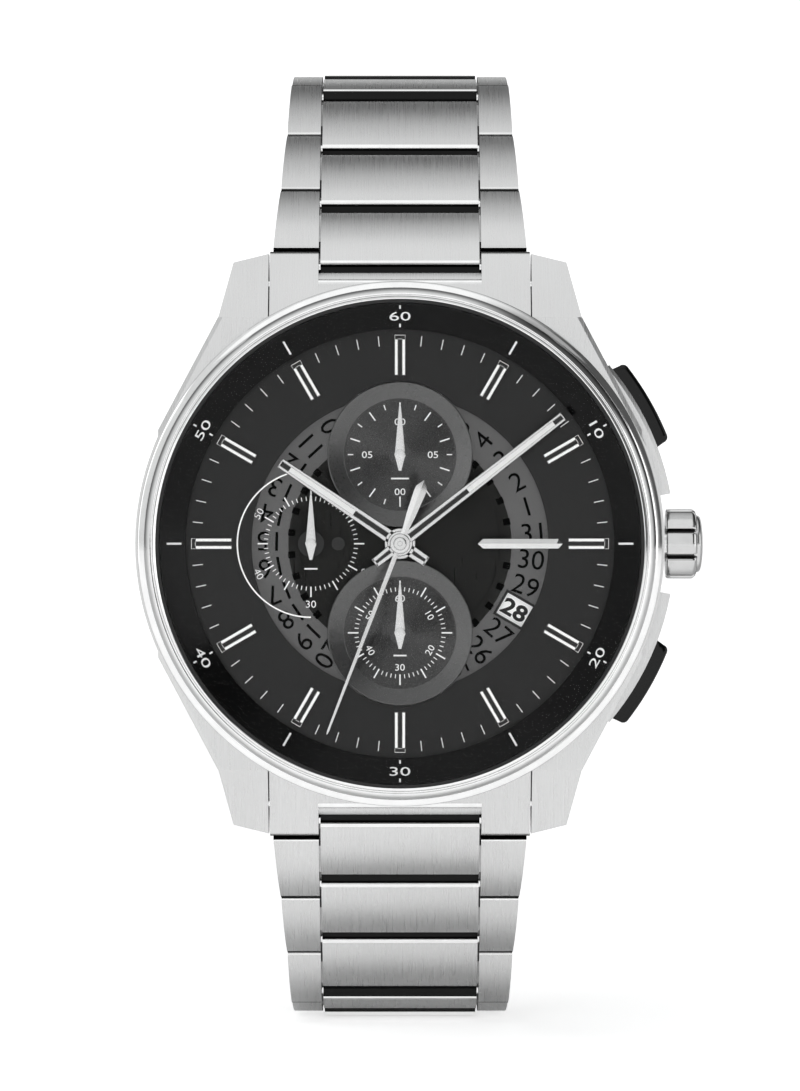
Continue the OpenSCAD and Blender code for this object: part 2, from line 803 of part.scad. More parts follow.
module end_link() {
    side_y = strap_start[0] + link_r * sin(atan(facet_drop));
    side_z = strap_start[1] + link_r * cos(atan(facet_drop));
    end_low = 1.9;
    end_top = 7.9;
    end_lip_y = 22.85;
    difference() {
        across(lug_gap - 0.2) union() {
            translate(strap_start) circle(link_r);
            polygon([[17, end_low], [17, end_top], [knee[1] - 0.3, end_top],
                [side_y, side_z], [strap_start[0], strap_start[1] - link_r + 0.02],
                [22, end_low]]);
        }
        at_z(-2) cylinder(h = 14, r = 21);
        // room for the first centre bar, with a lip over it
        translate([0, strap_start[0], strap_start[1]]) along_x(-leg_in, leg_in, end_gap);
        translate([-leg_in, strap_start[0] - end_gap, -1])
            cube([2 * leg_in, 5, strap_start[1] + 1]);
        translate([-leg_in, end_lip_y, -1]) cube([2 * leg_in, 5, 12]);
        translate([0, spring_bar_at[0], spring_bar_at[1]])
            along_x(-15, 15, spring_bar_r + 0.05);
        translate([0, strap_start[0], strap_start[1]]) along_x(-15, 15, leg_bore_r);
    }
}

module end_links() { color("silver") upright() both_ends() end_link(); }

module spring_bars() {
    half = lug_gap / 2 - 0.3;
    color("gray") upright() both_ends() {
        translate([0, spring_bar_at[0], spring_bar_at[1]]) {
            along_x(-half, half, spring_bar_r);
            along_x(-half - 1.2, half + 1.2, 0.38);
        }
        translate([0, strap_start[0], strap_start[1]]) along_x(-10.4, 10.4, pin_r);
    }
}

// ---------- clasp ----------

// Moves a (y, z) point's frame to the origin
module at_yz(p) { translate([0, p[0], p[1]]) children(); }

module leaf_bar() {
    half_t = 0.45;
    neck = 0.85;
    top = leaf_tip + [0, 2.2];
    polygon([leaf_tip + [-neck, 0], leaf_tip + [neck, 0], top + [neck, -half_t],
        leaf_hinge + [0, -half_t], leaf_hinge + [0, half_t], top + [-neck, half_t]]);
}

module leaf() {
    difference() {
        union() {
            at_yz(leaf_tip) along_x(-centre_w / 2, centre_w / 2, 1.3);
            across(2 * leaf_half_w) leaf_bar();
            at_yz(leaf_hinge) along_x(-leaf_half_w, leaf_half_w, knuckle_r);
        }
        at_yz(leaf_tip) along_x(-15, 15, tongue_bore_r);
        at_yz(leaf_hinge) along_x(-15, 15, clasp_pin_r + 0.05);
        // room for the plate's knuckle
        translate([-knuckle_half_w - 0.1, leaf_hinge[0] - 2.9, leaf_hinge[1] - 5])
            cube([2 * knuckle_half_w + 0.2, 6, 10]);
    }
}

module upper_leaf() { color("silver") upright() leaf(); }

// The lower leaf holds its own bar, which stops short of the last link's legs
module lower_leaf() {
    color("silver") upright() mirror([0, 1, 0]) {
        leaf();
        at_yz(leaf_tip) along_x(-centre_w / 2, centre_w / 2, tongue_bore_r - 0.04);
    }
}

module clasp_plate() {
    wide_to = leaf_hinge[0] - 2.7;
    inside_z = cover_face_z + cover_wall;
    color("silver") upright() {
        difference() {
            union() {
                translate([-leaf_half_w, -wide_to, plate_low_z])
                    cube([2 * leaf_half_w, 2 * wide_to, plate_thick]);
                both_ends() {
                    translate([-knuckle_half_w, 0, plate_low_z])
                        cube([2 * knuckle_half_w, leaf_hinge[0], 0.69]);
                    at_yz(leaf_hinge) along_x(-knuckle_half_w, knuckle_half_w, knuckle_r);
                }
                translate([-cover_half_w, -cover_half_len, cover_face_z])
                    cube([2 * cover_half_w, 2 * cover_half_len,
                        plate_low_z - cover_face_z + 0.1]);
            }
            both_ends() at_yz(leaf_hinge) along_x(-15, 15, clasp_pin_r + eps);
            translate([-cover_half_w + cover_wall, -cover_half_len + cover_wall, inside_z])
                cube([2 * (cover_half_w - cover_wall), 2 * (cover_half_len - cover_wall),
                    plate_low_z - inside_z - 0.3]);
            translate([-20, -button_half_len - 0.08, button_z - button_half_h - 0.08])
                cube([40, 2 * button_half_len + 0.16, 2 * button_half_h + 0.16]);
        }
        both_ends() at_yz(leaf_hinge)
            along_x(-leaf_half_w + 0.1, leaf_half_w - 0.1, clasp_pin_r);
    }
}

// A push button with an inside flange and two latch arms
module button() {
    inner = cover_half_w - cover_wall - 0.1;
    arm_half = cover_half_len - cover_wall - 0.3;
    translate([inner - 0.6, -button_half_len, button_z - button_half_h])
        cube([cover_half_w + button_proud - inner + 0.6, 2 * button_half_len,
            2 * button_half_h]);
    translate([inner - 0.6, -button_half_len - 0.6, button_z - button_half_h - 0.2])
        cube([0.6, 2 * button_half_len + 1.2, 2 * button_half_h + 0.4]);
    translate([inner - 0.6, -arm_half, button_z - 0.4]) cube([0.6, 2 * arm_half, 0.8]);
}

module right_button() { color("gainsboro") upright() button(); }
module left_button() { color("gainsboro") upright() mirror([1, 0, 0]) button(); }

// ---------- assembly ----------

mid_case();
bezel();
crystal();
flange_ring();
case_back();
gaskets();
case_back_screws();
case_tubes();
movement_holder();
dial();
dial_center();
hour_markers();
subdial_rings();
hour_hand();
minute_hand();
seconds_hand();
tenths_hand();
minute_counter_hand();
second_counter_hand();
main_plate();
train_bridge();
circuit_board();
motor_coils();
battery();
movement_screws();
date_ring();
hour_wheel();
center_wheel();
seconds_wheel();
minute_wheel();
third_wheel();
crown();
stem();
stem_detent();
upper_pusher();
lower_pusher();
pusher_springs();
end_links();
spring_bars();
for (i = [1:links]) {
    upper_link(i - 1);
    lower_link(i - 1);
}
clasp_plate();
upper_leaf();
lower_leaf();
left_button();
right_button();
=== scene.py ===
# Chronograph wristwatch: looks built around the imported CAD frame.
# Shapes are drawn in the watch's own frame in millimetres: x to 3 o'clock, y to 12 o'clock and
# z out of the dial; put() turns them into the row frame in metres.
import bpy, bmesh, json, math
from mathutils import Matrix, Vector


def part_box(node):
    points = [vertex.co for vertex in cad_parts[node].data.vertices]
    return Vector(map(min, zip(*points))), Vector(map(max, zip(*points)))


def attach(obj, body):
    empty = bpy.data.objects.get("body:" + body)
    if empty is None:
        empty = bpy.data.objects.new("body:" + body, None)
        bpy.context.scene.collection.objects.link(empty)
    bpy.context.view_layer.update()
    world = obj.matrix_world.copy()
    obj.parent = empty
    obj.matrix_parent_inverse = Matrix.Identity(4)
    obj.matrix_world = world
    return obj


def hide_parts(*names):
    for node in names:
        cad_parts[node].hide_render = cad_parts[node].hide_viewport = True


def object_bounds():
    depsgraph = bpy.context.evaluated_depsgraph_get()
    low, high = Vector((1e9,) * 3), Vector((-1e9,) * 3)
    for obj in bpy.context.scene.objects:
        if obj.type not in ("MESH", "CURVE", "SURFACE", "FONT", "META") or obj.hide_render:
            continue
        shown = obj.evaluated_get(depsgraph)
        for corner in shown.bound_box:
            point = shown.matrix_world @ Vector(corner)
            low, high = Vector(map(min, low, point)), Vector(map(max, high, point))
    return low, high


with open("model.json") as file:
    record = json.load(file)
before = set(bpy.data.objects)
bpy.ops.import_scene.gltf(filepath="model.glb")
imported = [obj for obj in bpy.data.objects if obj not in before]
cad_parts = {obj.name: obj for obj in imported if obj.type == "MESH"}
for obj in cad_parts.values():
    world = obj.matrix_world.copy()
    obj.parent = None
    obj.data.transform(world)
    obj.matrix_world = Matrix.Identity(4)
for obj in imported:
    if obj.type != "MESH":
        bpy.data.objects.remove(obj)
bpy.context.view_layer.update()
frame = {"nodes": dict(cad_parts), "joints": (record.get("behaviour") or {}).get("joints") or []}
scene = bpy.context.scene
STAND = Matrix(((1, 0, 0, 0), (0, 0, -1, 0), (0, 1, 0, 0), (0, 0, 0, 1)))
JOINT = {j["name"]: j for j in frame["joints"]}


def joint_at(name):
    """A joint's place in the watch frame, in mm."""
    x, y, z = JOINT[name]["pos_m"]
    return Vector((x * 1000, z * 1000, -y * 1000))


def heights(node):
    """Lowest and highest z of a CAD node in the watch frame, in mm."""
    lo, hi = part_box(node)
    return -hi.y * 1000, -lo.y * 1000


def polar(r, a):
    return Vector((r * math.cos(math.radians(a)), r * math.sin(math.radians(a))))


# ---------- materials ----------

def new_material(name):
    m = bpy.data.materials.new(name)
    m.use_nodes = True
    nt = m.node_tree
    return m, nt, nt.nodes["Principled BSDF"]


def node(nt, kind, **sockets):
    n = nt.nodes.new(kind)
    for k, v in sockets.items():
        n.inputs[k.replace("_", " ")].default_value = v
    return n


def noise(nt, scale, detail):
    """Noise with its own stretch per axis, in features per metre."""
    co = nt.nodes.new("ShaderNodeTexCoord")
    mp = node(nt, "ShaderNodeMapping", Scale=scale)
    nz = node(nt, "ShaderNodeTexNoise", Scale=1.0, Detail=detail, Roughness=0.6)
    nt.links.new(co.outputs["Object"], mp.inputs["Vector"])
    nt.links.new(mp.outputs["Vector"], nz.inputs["Vector"])
    return nz


def ramp(nt, source, lo, hi):
    r = node(nt, "ShaderNodeMapRange", To_Min=lo, To_Max=hi)
    r.inputs["From Min"].default_value, r.inputs["From Max"].default_value = 0.3, 0.7
    nt.links.new(source, r.inputs["Value"])
    return r.outputs["Result"]


def surface(name, color, rough, metal=0.0, grain=(3000, 3000, 3000), vary=0.04, bump=0.0,
            shade=0.06, spec=0.5):
    """Principled surface whose roughness, colour and relief all follow real-scale noise."""
    m, nt, p = new_material(name)
    fine = noise(nt, grain, 4.0)
    wide = noise(nt, (90, 90, 90), 3.0)
    p.inputs["Metallic"].default_value = metal
    p.inputs["Specular IOR Level"].default_value = spec
    nt.links.new(ramp(nt, fine.outputs["Fac"], max(rough - vary, 0.02), rough + vary),
                 p.inputs["Roughness"])
    mix = nt.nodes.new("ShaderNodeMix")
    mix.data_type = "RGBA"
    mix.inputs[6].default_value = (*[c * (1 - shade) for c in color], 1)
    mix.inputs[7].default_value = (*[min(1, c * (1 + shade)) for c in color], 1)
    both = node(nt, "ShaderNodeMath")
    both.operation = "MULTIPLY_ADD"
    nt.links.new(fine.outputs["Fac"], both.inputs[0])
    both.inputs[1].default_value = 0.7
    scaled = node(nt, "ShaderNodeMath")
    scaled.operation = "MULTIPLY"
    scaled.inputs[1].default_value = 0.3
    nt.links.new(wide.outputs["Fac"], scaled.inputs[0])
    nt.links.new(scaled.outputs[0], both.inputs[2])
    nt.links.new(ramp(nt, both.outputs[0], 0.0, 1.0), mix.inputs[0])
    nt.links.new(mix.outputs[2], p.inputs["Base Color"])
    if bump:
        b = node(nt, "ShaderNodeBump", Strength=1.0, Distance=bump)
        nt.links.new(fine.outputs["Fac"], b.inputs["Height"])
        nt.links.new(b.outputs["Normal"], p.inputs["Normal"])
    return m


def see_through(name, tint, gloss, rough):
    """A clear sheet: it tints what is behind it and reflects a little, more at a grazing angle."""
    m, nt, p = new_material(name)
    clear = node(nt, "ShaderNodeBsdfTransparent", Color=(*tint, 1))
    weight = node(nt, "ShaderNodeLayerWeight", Blend=0.25)
    speck = noise(nt, (400, 400, 400), 2.0)
    nt.links.new(ramp(nt, speck.outputs["Fac"], rough, rough * 1.3), p.inputs["Roughness"])
    p.inputs["Metallic"].default_value = 0.0
    p.inputs["Base Color"].default_value = (0.01, 0.01, 0.01, 1)
    mix = nt.nodes.new("ShaderNodeMixShader")
    r = node(nt, "ShaderNodeMapRange", To_Min=gloss[0], To_Max=gloss[1])
    nt.links.new(weight.outputs["Facing"], r.inputs["Value"])
    nt.links.new(r.outputs["Result"], mix.inputs["Fac"])
    nt.links.new(clear.outputs[0], mix.inputs[1])
    nt.links.new(p.outputs[0], mix.inputs[2])
    nt.links.new(mix.outputs[0], nt.nodes["Material Output"].inputs["Surface"])
    return m


GRAIN = (11000, 260, 260)
STEEL = (0.60, 0.60, 0.60)
brushed = surface("brushed_steel", STEEL, 0.30, 1.0, GRAIN, 0.06, 0.0000034, shade=0.08)
# Near-black steel for the faces in the bracelet's gaps and seams: painted shade, so the gaps read
# dark
gap_shade_steel = surface("steel_with_painted_gap_shade", (0.015, 0.015, 0.015), 0.42, 1.0, (2000, 2000, 2000),
                    0.05)
polished = surface("polished_steel", (0.80, 0.80, 0.80), 0.09, 1.0, (700, 700, 700), 0.03)
crown_steel = surface("crown_steel", (0.56, 0.56, 0.56), 0.13, 1.0, (700, 700, 700), 0.03)
hand_metal = surface("hand_steel", (0.93, 0.93, 0.92), 0.24, 1.0, (4000, 4000, 4000), 0.04,
                     shade=0.03)
facets = surface("hand_facets", (0.66, 0.66, 0.66), 0.22, 1.0, (4000, 4000, 4000), 0.04,
                 shade=0.03)
lume = surface("white_lume", (0.95, 0.95, 0.94), 0.5, 0.0, (9000, 9000, 9000), 0.1, 0.000002)
black_gloss = surface("black_gloss", (0.004, 0.004, 0.004), 0.15, 0.0, (9000, 9000, 9000),
                      0.02, spec=0.15)
pusher_black = surface("black_coated_steel", (0.022, 0.022, 0.022), 0.14, 1.0,
                       (5000, 5000, 5000), 0.03, 0.0000008)
black_satin = surface("dial_black", (0.012, 0.012, 0.012), 0.38, 0.0, (14000, 14000, 14000),
                      0.08, 0.000001, shade=0.12, spec=0.3)
disc_black = surface("subdial_black", (0.07, 0.07, 0.07), 0.26, 1.0,
                     (14000, 14000, 14000), 0.05, 0.000001, shade=0.1)
ring_black = surface("subdial_ring_black", (0.13, 0.13, 0.13), 0.30, 1.0,
                     (16000, 16000, 16000), 0.06, 0.000003, shade=0.16)
# Near-black for the black parts and print, and painted shade in the crown's flutes
black_paint_and_shade = surface("black_paint_and_shade", (0.006, 0.006, 0.006), 0.45, 0.0, (9000, 9000, 9000), 0.1)
white_print_with_painted_glow = surface("white_print_painted_glow", (0.92, 0.92, 0.92), 0.55, 0.0, (20000, 20000, 20000), 0.1)
print_black = surface("black_print", (0.003, 0.003, 0.003), 0.6, 0.0, (20000, 20000, 20000), 0.1)
date_white_with_painted_glow = surface("date_white_painted_glow", (0.90, 0.90, 0.90), 0.55, 0.0, (9000, 9000, 9000), 0.08,
                     0.000001, shade=0.02)
# The white print and the date paint also glow: painted light that brightens them beyond what the
# lamps give
for paint, glow in ((white_print_with_painted_glow, 0.12), (date_white_with_painted_glow, 0.22)):
    shader = paint.node_tree.nodes["Principled BSDF"]
    shader.inputs["Emission Color"].default_value = (1, 1, 1, 1)
    shader.inputs["Emission Strength"].default_value = glow
crystal_mat = see_through("sapphire", (0.985, 0.985, 0.985), (0.008, 0.3), 0.02)
smoke_mat = see_through("smoked_disc", (0.60, 0.60, 0.60), (0.03, 0.4), 0.25)
brass = surface("gilt_brass", (0.42, 0.31, 0.15), 0.28, 1.0, (5000, 5000, 5000), 0.06)
nickel = surface("movement_dark_nickel", (0.30, 0.30, 0.29), 0.34, 1.0, (6000, 300, 300), 0.08,
                 0.000002)
board = surface("board_green", (0.02, 0.10, 0.05), 0.45, 0.0, (5000, 5000, 5000), 0.1)
copper = surface("coil_copper", (0.55, 0.22, 0.10), 0.4, 0.6, (300, 300, 15000), 0.1, 0.000004)
rubber = surface("seal_rubber", (0.015, 0.015, 0.015), 0.7, 0.0, (6000, 6000, 6000), 0.1)
holder = surface("holder_plastic", (0.55, 0.55, 0.53), 0.5, 0.0, (5000, 5000, 5000), 0.1)

NODE_LOOK = {
    "gaskets": rubber, "case_back_screws": polished, "case_tubes": polished,
    "movement_holder": holder, "main_plate": nickel, "train_bridge": nickel,
    "circuit_board": board, "motor_coils": copper, "battery": polished,
    "movement_screws": polished, "hour_wheel": nickel, "center_wheel": nickel,
    "seconds_wheel": nickel, "minute_wheel": nickel, "third_wheel": nickel, "stem": polished,
    "stem_detent": polished, "pusher_springs": polished, "spring_bars": polished,
    "mid_case": brushed, "case_back": brushed, "clasp_plate": brushed, "upper_leaf": polished,
    "lower_leaf": polished, "left_button": polished, "right_button": polished,
}
# Edge rounding in metres for the CAD nodes that stay in view
ROUNDED = {"mid_case": 0.00009, "case_back": 0.0001, "clasp_plate": 0.00018,
           "upper_leaf": 0.0001, "lower_leaf": 0.0001, "left_button": 0.0002,
           "right_button": 0.0002}
for name, look in NODE_LOOK.items():
    o = frame["nodes"][name]
    o.data.materials.clear()
    o.data.materials.append(look)
    if name in ROUNDED:
        soft = o.modifiers.new("soft_edges", "BEVEL")
        soft.width, soft.segments, soft.limit_method = ROUNDED[name], 2, "ANGLE"
        soft.angle_limit, soft.harden_normals = math.radians(24), True


# ---------- mesh helpers ----------

def edge_angle(e):
    return e.calc_face_angle(0.0) if len(e.link_faces) == 2 else 0.0


def chamfer(bm, width, segments, least):
    """Rounds the edges sharper than `least` degrees."""
    edges = [e for e in bm.edges if edge_angle(e) > math.radians(least)]
    if edges:
        bmesh.ops.bevel(bm, geom=edges, offset=width, segments=segments, profile=0.5,
                        affect="EDGES", clamp_overlap=True)


def put(name, bm, looks, body, replaces=(), smooth=38, weighted=True):
    """Turns a watch-frame mesh in mm into a piece that rides on a body."""
    bmesh.ops.recalc_face_normals(bm, faces=bm.faces)
    bm.normal_update()
    for e in bm.edges:
        e.smooth = edge_angle(e) < math.radians(smooth)
    for f in bm.faces:
        f.smooth = True
    bm.transform(Matrix.Scale(0.001, 4) @ STAND)
    me = bpy.data.meshes.new(name)
    bm.to_mesh(me)
    bm.free()
    for look in looks if isinstance(looks, (list, tuple)) else [looks]:
        me.materials.append(look)
    o = bpy.data.objects.new(name, me)
    scene.collection.objects.link(o)
    if weighted:
        w = o.modifiers.new("even_shading", "WEIGHTED_NORMAL")
        w.keep_sharp = True
    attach(o, body)
    if replaces:
        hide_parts(*replaces)
    return o


def lathe(bm, profile, steps=192, at=(0, 0), mat=0):
    """Turns a closed profile of (radius, z) about the z axis through `at`."""
    rings = []
    for i in range(steps):
        c, s = math.cos(2 * math.pi * i / steps), math.sin(2 * math.pi * i / steps)
        rings.append([bm.verts.new((at[0] + r * c, at[1] + r * s, z)) for r, z in profile])
    n = len(profile)
    for i in range(steps):
        a, b = rings[i], rings[(i + 1) % steps]
        for k in range(n):
            f = bm.faces.new((a[k], b[k], b[(k + 1) % n], a[(k + 1) % n]))
            f.material_index = mat


def turned(bm, profile, steps=192, at=(0, 0), mat=0):
    """A solid of revolution whose profile starts and ends on the axis."""
    rings = []
    for i in range(steps):
        c, s = math.cos(2 * math.pi * i / steps), math.sin(2 * math.pi * i / steps)
        rings.append([bm.verts.new((at[0] + r * c, at[1] + r * s, z))
                      for r, z in profile[1:-1]])
    low = bm.verts.new((at[0], at[1], profile[0][1]))
    top = bm.verts.new((at[0], at[1], profile[-1][1]))
    for i in range(steps):
        a, b = rings[i], rings[(i + 1) % steps]
        for k in range(len(a) - 1):
            bm.faces.new((a[k], b[k], b[k + 1], a[k + 1])).material_index = mat
        bm.faces.new((low, b[0], a[0])).material_index = mat
        bm.faces.new((top, a[-1], b[-1])).material_index = mat


def prism(bm, outline, z0, z1):
    """Extrudes an outline of (x, y) points from z0 to z1."""
    low = [bm.verts.new((x, y, z0)) for x, y in outline]
    top = [bm.verts.new((x, y, z1)) for x, y in outline]
    n = len(outline)
    bm.faces.new(low[::-1])
    bm.faces.new(top)
    for i in range(n):
        bm.faces.new((low[i], low[(i + 1) % n], top[(i + 1) % n], top[i]))


def join(bm, other):
    me = bpy.data.meshes.new("part")
    other.to_mesh(me)
    other.free()
    bm.from_mesh(me)
    bpy.data.meshes.remove(me)


def turn(a, at=(0, 0, 0)):
    """Rotation about z by a degrees anticlockwise, then a move."""
    return Matrix.Translation(Vector(at)) @ Matrix.Rotation(math.radians(a), 4, "Z")


def bar(bm, length, width, z0, z1, move, mat=0, cut=0.0):
    """A bar centred on its own x axis; cut slopes its top edges inward."""
    h, w = length / 2, width / 2
    low = [(-h, -w), (h, -w), (h, w), (-h, w)]
    top = [(-h + cut, -w + cut), (h - cut, -w + cut), (h - cut, w - cut), (-h + cut, w - cut)]
    a = [bm.verts.new(move @ Vector((*p, z0))) for p in low]
    m = [bm.verts.new(move @ Vector((*p, z1 - cut))) for p in low] if cut else a
    b = [bm.verts.new(move @ Vector((*p, z1))) for p in top]
    loops = [a, m, b] if cut else [a, b]
    for lo, hi in zip(loops, loops[1:]):
        for i in range(4):
            bm.faces.new((lo[i], lo[(i + 1) % 4], hi[(i + 1) % 4], hi[i])).material_index = mat
    bm.faces.new(a[::-1]).material_index = mat
    bm.faces.new(b).material_index = mat


def lettering(bm, words, height, move, thick=0.012, wide=1.0, bold=0.0):
    """Figures in the built-in typeface, centred, `height` mm tall."""
    cu = bpy.data.curves.new("figures", "FONT")
    cu.body, cu.size, cu.resolution_u, cu.offset = words, 1.0, 3, bold
    ob = bpy.data.objects.new("figures", cu)
    scene.collection.objects.link(ob)
    dg = bpy.context.evaluated_depsgraph_get()
    me = bpy.data.meshes.new_from_object(ob.evaluated_get(dg))
    xs = [v.co.x for v in me.vertices]
    k = height / 0.7
    mid = Vector(((min(xs) + max(xs)) / 2, 0.35, 0))
    tmp = bmesh.new()
    tmp.from_mesh(me)
    bmesh.ops.remove_doubles(tmp, verts=tmp.verts, dist=1e-5)
    for v in tmp.verts:
        v.co = Vector(((v.co.x - mid.x) * k * wide, (v.co.y - mid.y) * k, 0))
    up = bmesh.ops.extrude_face_region(tmp, geom=tmp.faces[:])
    for v in [g for g in up["geom"] if isinstance(g, bmesh.types.BMVert)]:
        v.co.z += thick
    tmp.transform(move)
    join(bm, tmp)
    bpy.data.objects.remove(ob)
    bpy.data.curves.remove(cu)
    bpy.data.meshes.remove(me)


def readable(r, clock, centre=(0, 0), z=0.0):
    """Frame for a figure at a clockwise angle: tops outward above, inward below."""
    p = polar(r, 90 - clock)
    c = clock % 360
    spin = -clock if c <= 91 or c >= 269 else 180 - clock
    return turn(spin, (centre[0] + p.x, centre[1] + p.y, z))


# ---------- case ----------

case_top = heights("bezel")[0]
crystal_lo, crystal_hi = heights("crystal")
dial_lo, dial_top = heights("dial")
window_lo, window_top = heights("dial_center")

bm = bmesh.new()
lathe(bm, [(20.30, case_top), (21.86, case_top), (21.9, case_top + 0.06),
           (21.9, case_top + 0.42), (21.84, case_top + 0.5), (21.42, case_top + 0.66),
           (21.36, case_top + 0.72), (21.34, case_top + 1.3), (21.28, case_top + 1.45),
           (20.86, case_top + 2.08), (20.80, case_top + 2.12), (20.74, case_top + 2.10),
           (20.70, case_top + 2.02), (20.64, case_top + 2.02), (20.58, case_top + 2.32),
           (20.52, case_top + 2.40), (20.40, case_top + 2.43), (20.33, case_top + 2.38),
           (20.30, case_top + 2.28)], 288)
put("bezel_polished", bm, polished, "case", ["bezel"], 30, False)

bm = bmesh.new()
r = 20.05
turned(bm, [(0, crystal_lo), (r - 0.1, crystal_lo), (r, crystal_lo + 0.1),
            (r, crystal_hi - 0.32), (r - 0.06, crystal_hi - 0.22), (r - 0.26, crystal_hi - 0.04),
            (r - 0.4, crystal_hi), (0, crystal_hi)], 192)
put("crystal_clear", bm, crystal_mat, "case", ["crystal"], 30, False)

FLANGE_IN, FLANGE_OUT = 17.92, 20.03
f_in, f_out = dial_top + 0.48, crystal_lo - 0.06
bm = bmesh.new()
lathe(bm, [(FLANGE_IN, dial_top), (18.65, dial_top), (18.65, case_top + 0.01),
           (20.22, case_top + 0.01), (20.22, crystal_lo - 0.06), (FLANGE_OUT, f_out),
           (FLANGE_IN + 0.05, f_in), (FLANGE_IN, f_in - 0.05)], 256)
put("flange_black", bm, black_gloss, "case", ["flange_ring"], 30, False)


def on_flange(r):
    return f_in + (f_out - f_in) * (r - FLANGE_IN) / (FLANGE_OUT - FLANGE_IN)


def lean(clock, r):
    """Frame lying on the sloping flange at a clockwise angle, x outward."""
    slope = math.atan2(f_out - f_in, FLANGE_OUT - FLANGE_IN)
    p = polar(r, 90 - clock)
    return (Matrix.Translation(Vector((p.x, p.y, on_flange(r) + 0.005)))
            @ Matrix.Rotation(math.radians(90 - clock), 4, "Z")
            @ Matrix.Rotation(-slope, 4, "Y"))


bm = bmesh.new()
for minute in range(5, 60, 10):
    bar(bm, 1.45, 0.17, 0, 0.02, lean(minute * 6, 18.85))
for minute in range(0, 60, 10):
    clock = minute * 6
    below = 91 < clock < 269
    figure = lean(clock, 18.98) @ Matrix.Rotation(math.radians(90 if below else -90), 4, "Z")
    lettering(bm, str(minute or 60), 0.86, figure, 0.015, 1.55)
    for r in (18.22, 19.72):
        bar(bm, 0.34, 0.14, 0, 0.02, lean(clock, r))
put("flange_print", bm, white_print_with_painted_glow, "case", (), 30, False)

# ---------- dial ----------

TWELVE, SIX, NINE = joint_at("tenths_turn"), joint_at("second_counter_turn"), \
    joint_at("minute_counter_turn")
OPENING, SUB_OUT = 12.4, 6.1


def ring_with_holes(bm, outer, inner, holes, z0, z1):
    """A flat ring cut by round holes that reach its inner edge."""
    pts = []
    marks = []
    for hx, hy, hr in holes:
        d = math.hypot(hx, hy)
        cosb = (d * d + inner * inner - hr * hr) / (2 * d * inner)
        marks.append((math.degrees(math.atan2(hy, hx)), math.degrees(math.acos(cosb)),
                      hx, hy, hr, d))
    marks.sort()
    steps = 360
    for k in range(steps):
        a = k * 360 / steps
        hit = None
        for base, half, hx, hy, hr, d in marks:
            off = (a - base + 180) % 360 - 180
            if abs(off) < half:
                hit = (hx, hy, hr, d, off)
        if hit is None:
            pts.append(polar(inner, a))
        else:
            hx, hy, hr, d, off = hit
            o = math.radians(off)
            reach = d * math.cos(o) + math.sqrt(max(hr * hr - (d * math.sin(o)) ** 2, 0))
            pts.append(polar(max(reach, inner), a))
    rings = []
    for z in (z0, z1):
        rings.append(([bm.verts.new((*p, z)) for p in pts],
                      [bm.verts.new((*polar(outer, k * 360 / steps), z))
                       for k in range(steps)]))
    (ai, ao), (bi, bo) = rings
    for k in range(steps):
        n = (k + 1) % steps
        bm.faces.new((ai[k], ai[n], ao[n], ao[k]))
        bm.faces.new((bi[k], bo[k], bo[n], bi[n]))
        bm.faces.new((ai[k], bi[k], bi[n], ai[n]))
        bm.faces.new((ao[k], ao[n], bo[n], bo[k]))


bm = bmesh.new()
ring_with_holes(bm, 18.62, OPENING, [(TWELVE.x, TWELVE.y, SUB_OUT + 0.03),
                                     (SIX.x, SIX.y, SUB_OUT + 0.03)], dial_lo + 0.01, dial_top)
put("dial_plate", bm, black_satin, "case", ["dial"], 30, False)

bm = bmesh.new()
for minute in range(60):
    if minute % 5:
        bar(bm, 0.85, 0.07, dial_top, dial_top + 0.012,
            turn(90 - minute * 6) @ Matrix.Translation((17.0, 0, 0)))
put("dial_print", bm, white_print_with_painted_glow, "case", (), 30, False)

# The smoked disc, open at the date window and round each arbor
WINDOW_AT, WINDOW_TURN = 11.08, -30
WINDOW = (2.42, 1.94)


def pierced(bm, outlines, z0, z1):
    """A sheet bounded by the first outline and cut by the others."""
    flat = bmesh.new()
    edges = []
    for outline in outlines:
        vs = [flat.verts.new((*p, z0)) for p in outline]
        edges += [flat.edges.new((vs[k], vs[(k + 1) % len(vs)])) for k in range(len(vs))]
    bmesh.ops.triangle_fill(flat, use_beauty=True, use_dissolve=False, edges=edges)
    up = bmesh.ops.extrude_face_region(flat, geom=flat.faces[:])
    for v in [g for g in up["geom"] if isinstance(g, bmesh.types.BMVert)]:
        v.co.z = z1
    join(bm, flat)


def circle(r, at=(0, 0), steps=48):
    return [Vector(at) + polar(r, k * 360 / steps) for k in range(steps)]


at_window = turn(WINDOW_TURN, (*polar(WINDOW_AT, WINDOW_TURN), 0))
corners = [(at_window @ Vector((i * WINDOW[0] / 2, j * WINDOW[1] / 2, 0))).xy
           for i, j in ((-1, -1), (1, -1), (1, 1), (-1, 1))]
bm = bmesh.new()
pierced(bm, [circle(OPENING + 0.55, steps=192), corners, circle(1.12)]
        + [circle(0.45, j.xy, 24) for j in (TWELVE, SIX, NINE)], window_lo, window_top)
put("smoked_disc", bm, smoke_mat, "case", ["dial_center"], 30, False)

# ---------- date ring ----------

date_lo, date_top = heights("date_ring")
DAYS, TODAY, RING_IN, RING_OUT = 31, 28, 9.35, 12.98
bm = bmesh.new()
lathe(bm, [(RING_IN, date_lo), (RING_OUT, date_lo), (RING_OUT, date_top - 0.02),
           (RING_OUT - 0.03, date_top), (RING_IN + 0.04, date_top), (RING_IN, date_top - 0.03)],
      248)
for k in range(DAYS):
    bar(bm, 0.62, 0.55, date_lo, date_top, turn(k * 360 / DAYS)
        @ Matrix.Translation((9.12, 0, 0)), 1)
put("date_ring_painted", bm, [date_white_with_painted_glow, black_paint_and_shade], "date_ring", ["date_ring"],
    30, False)
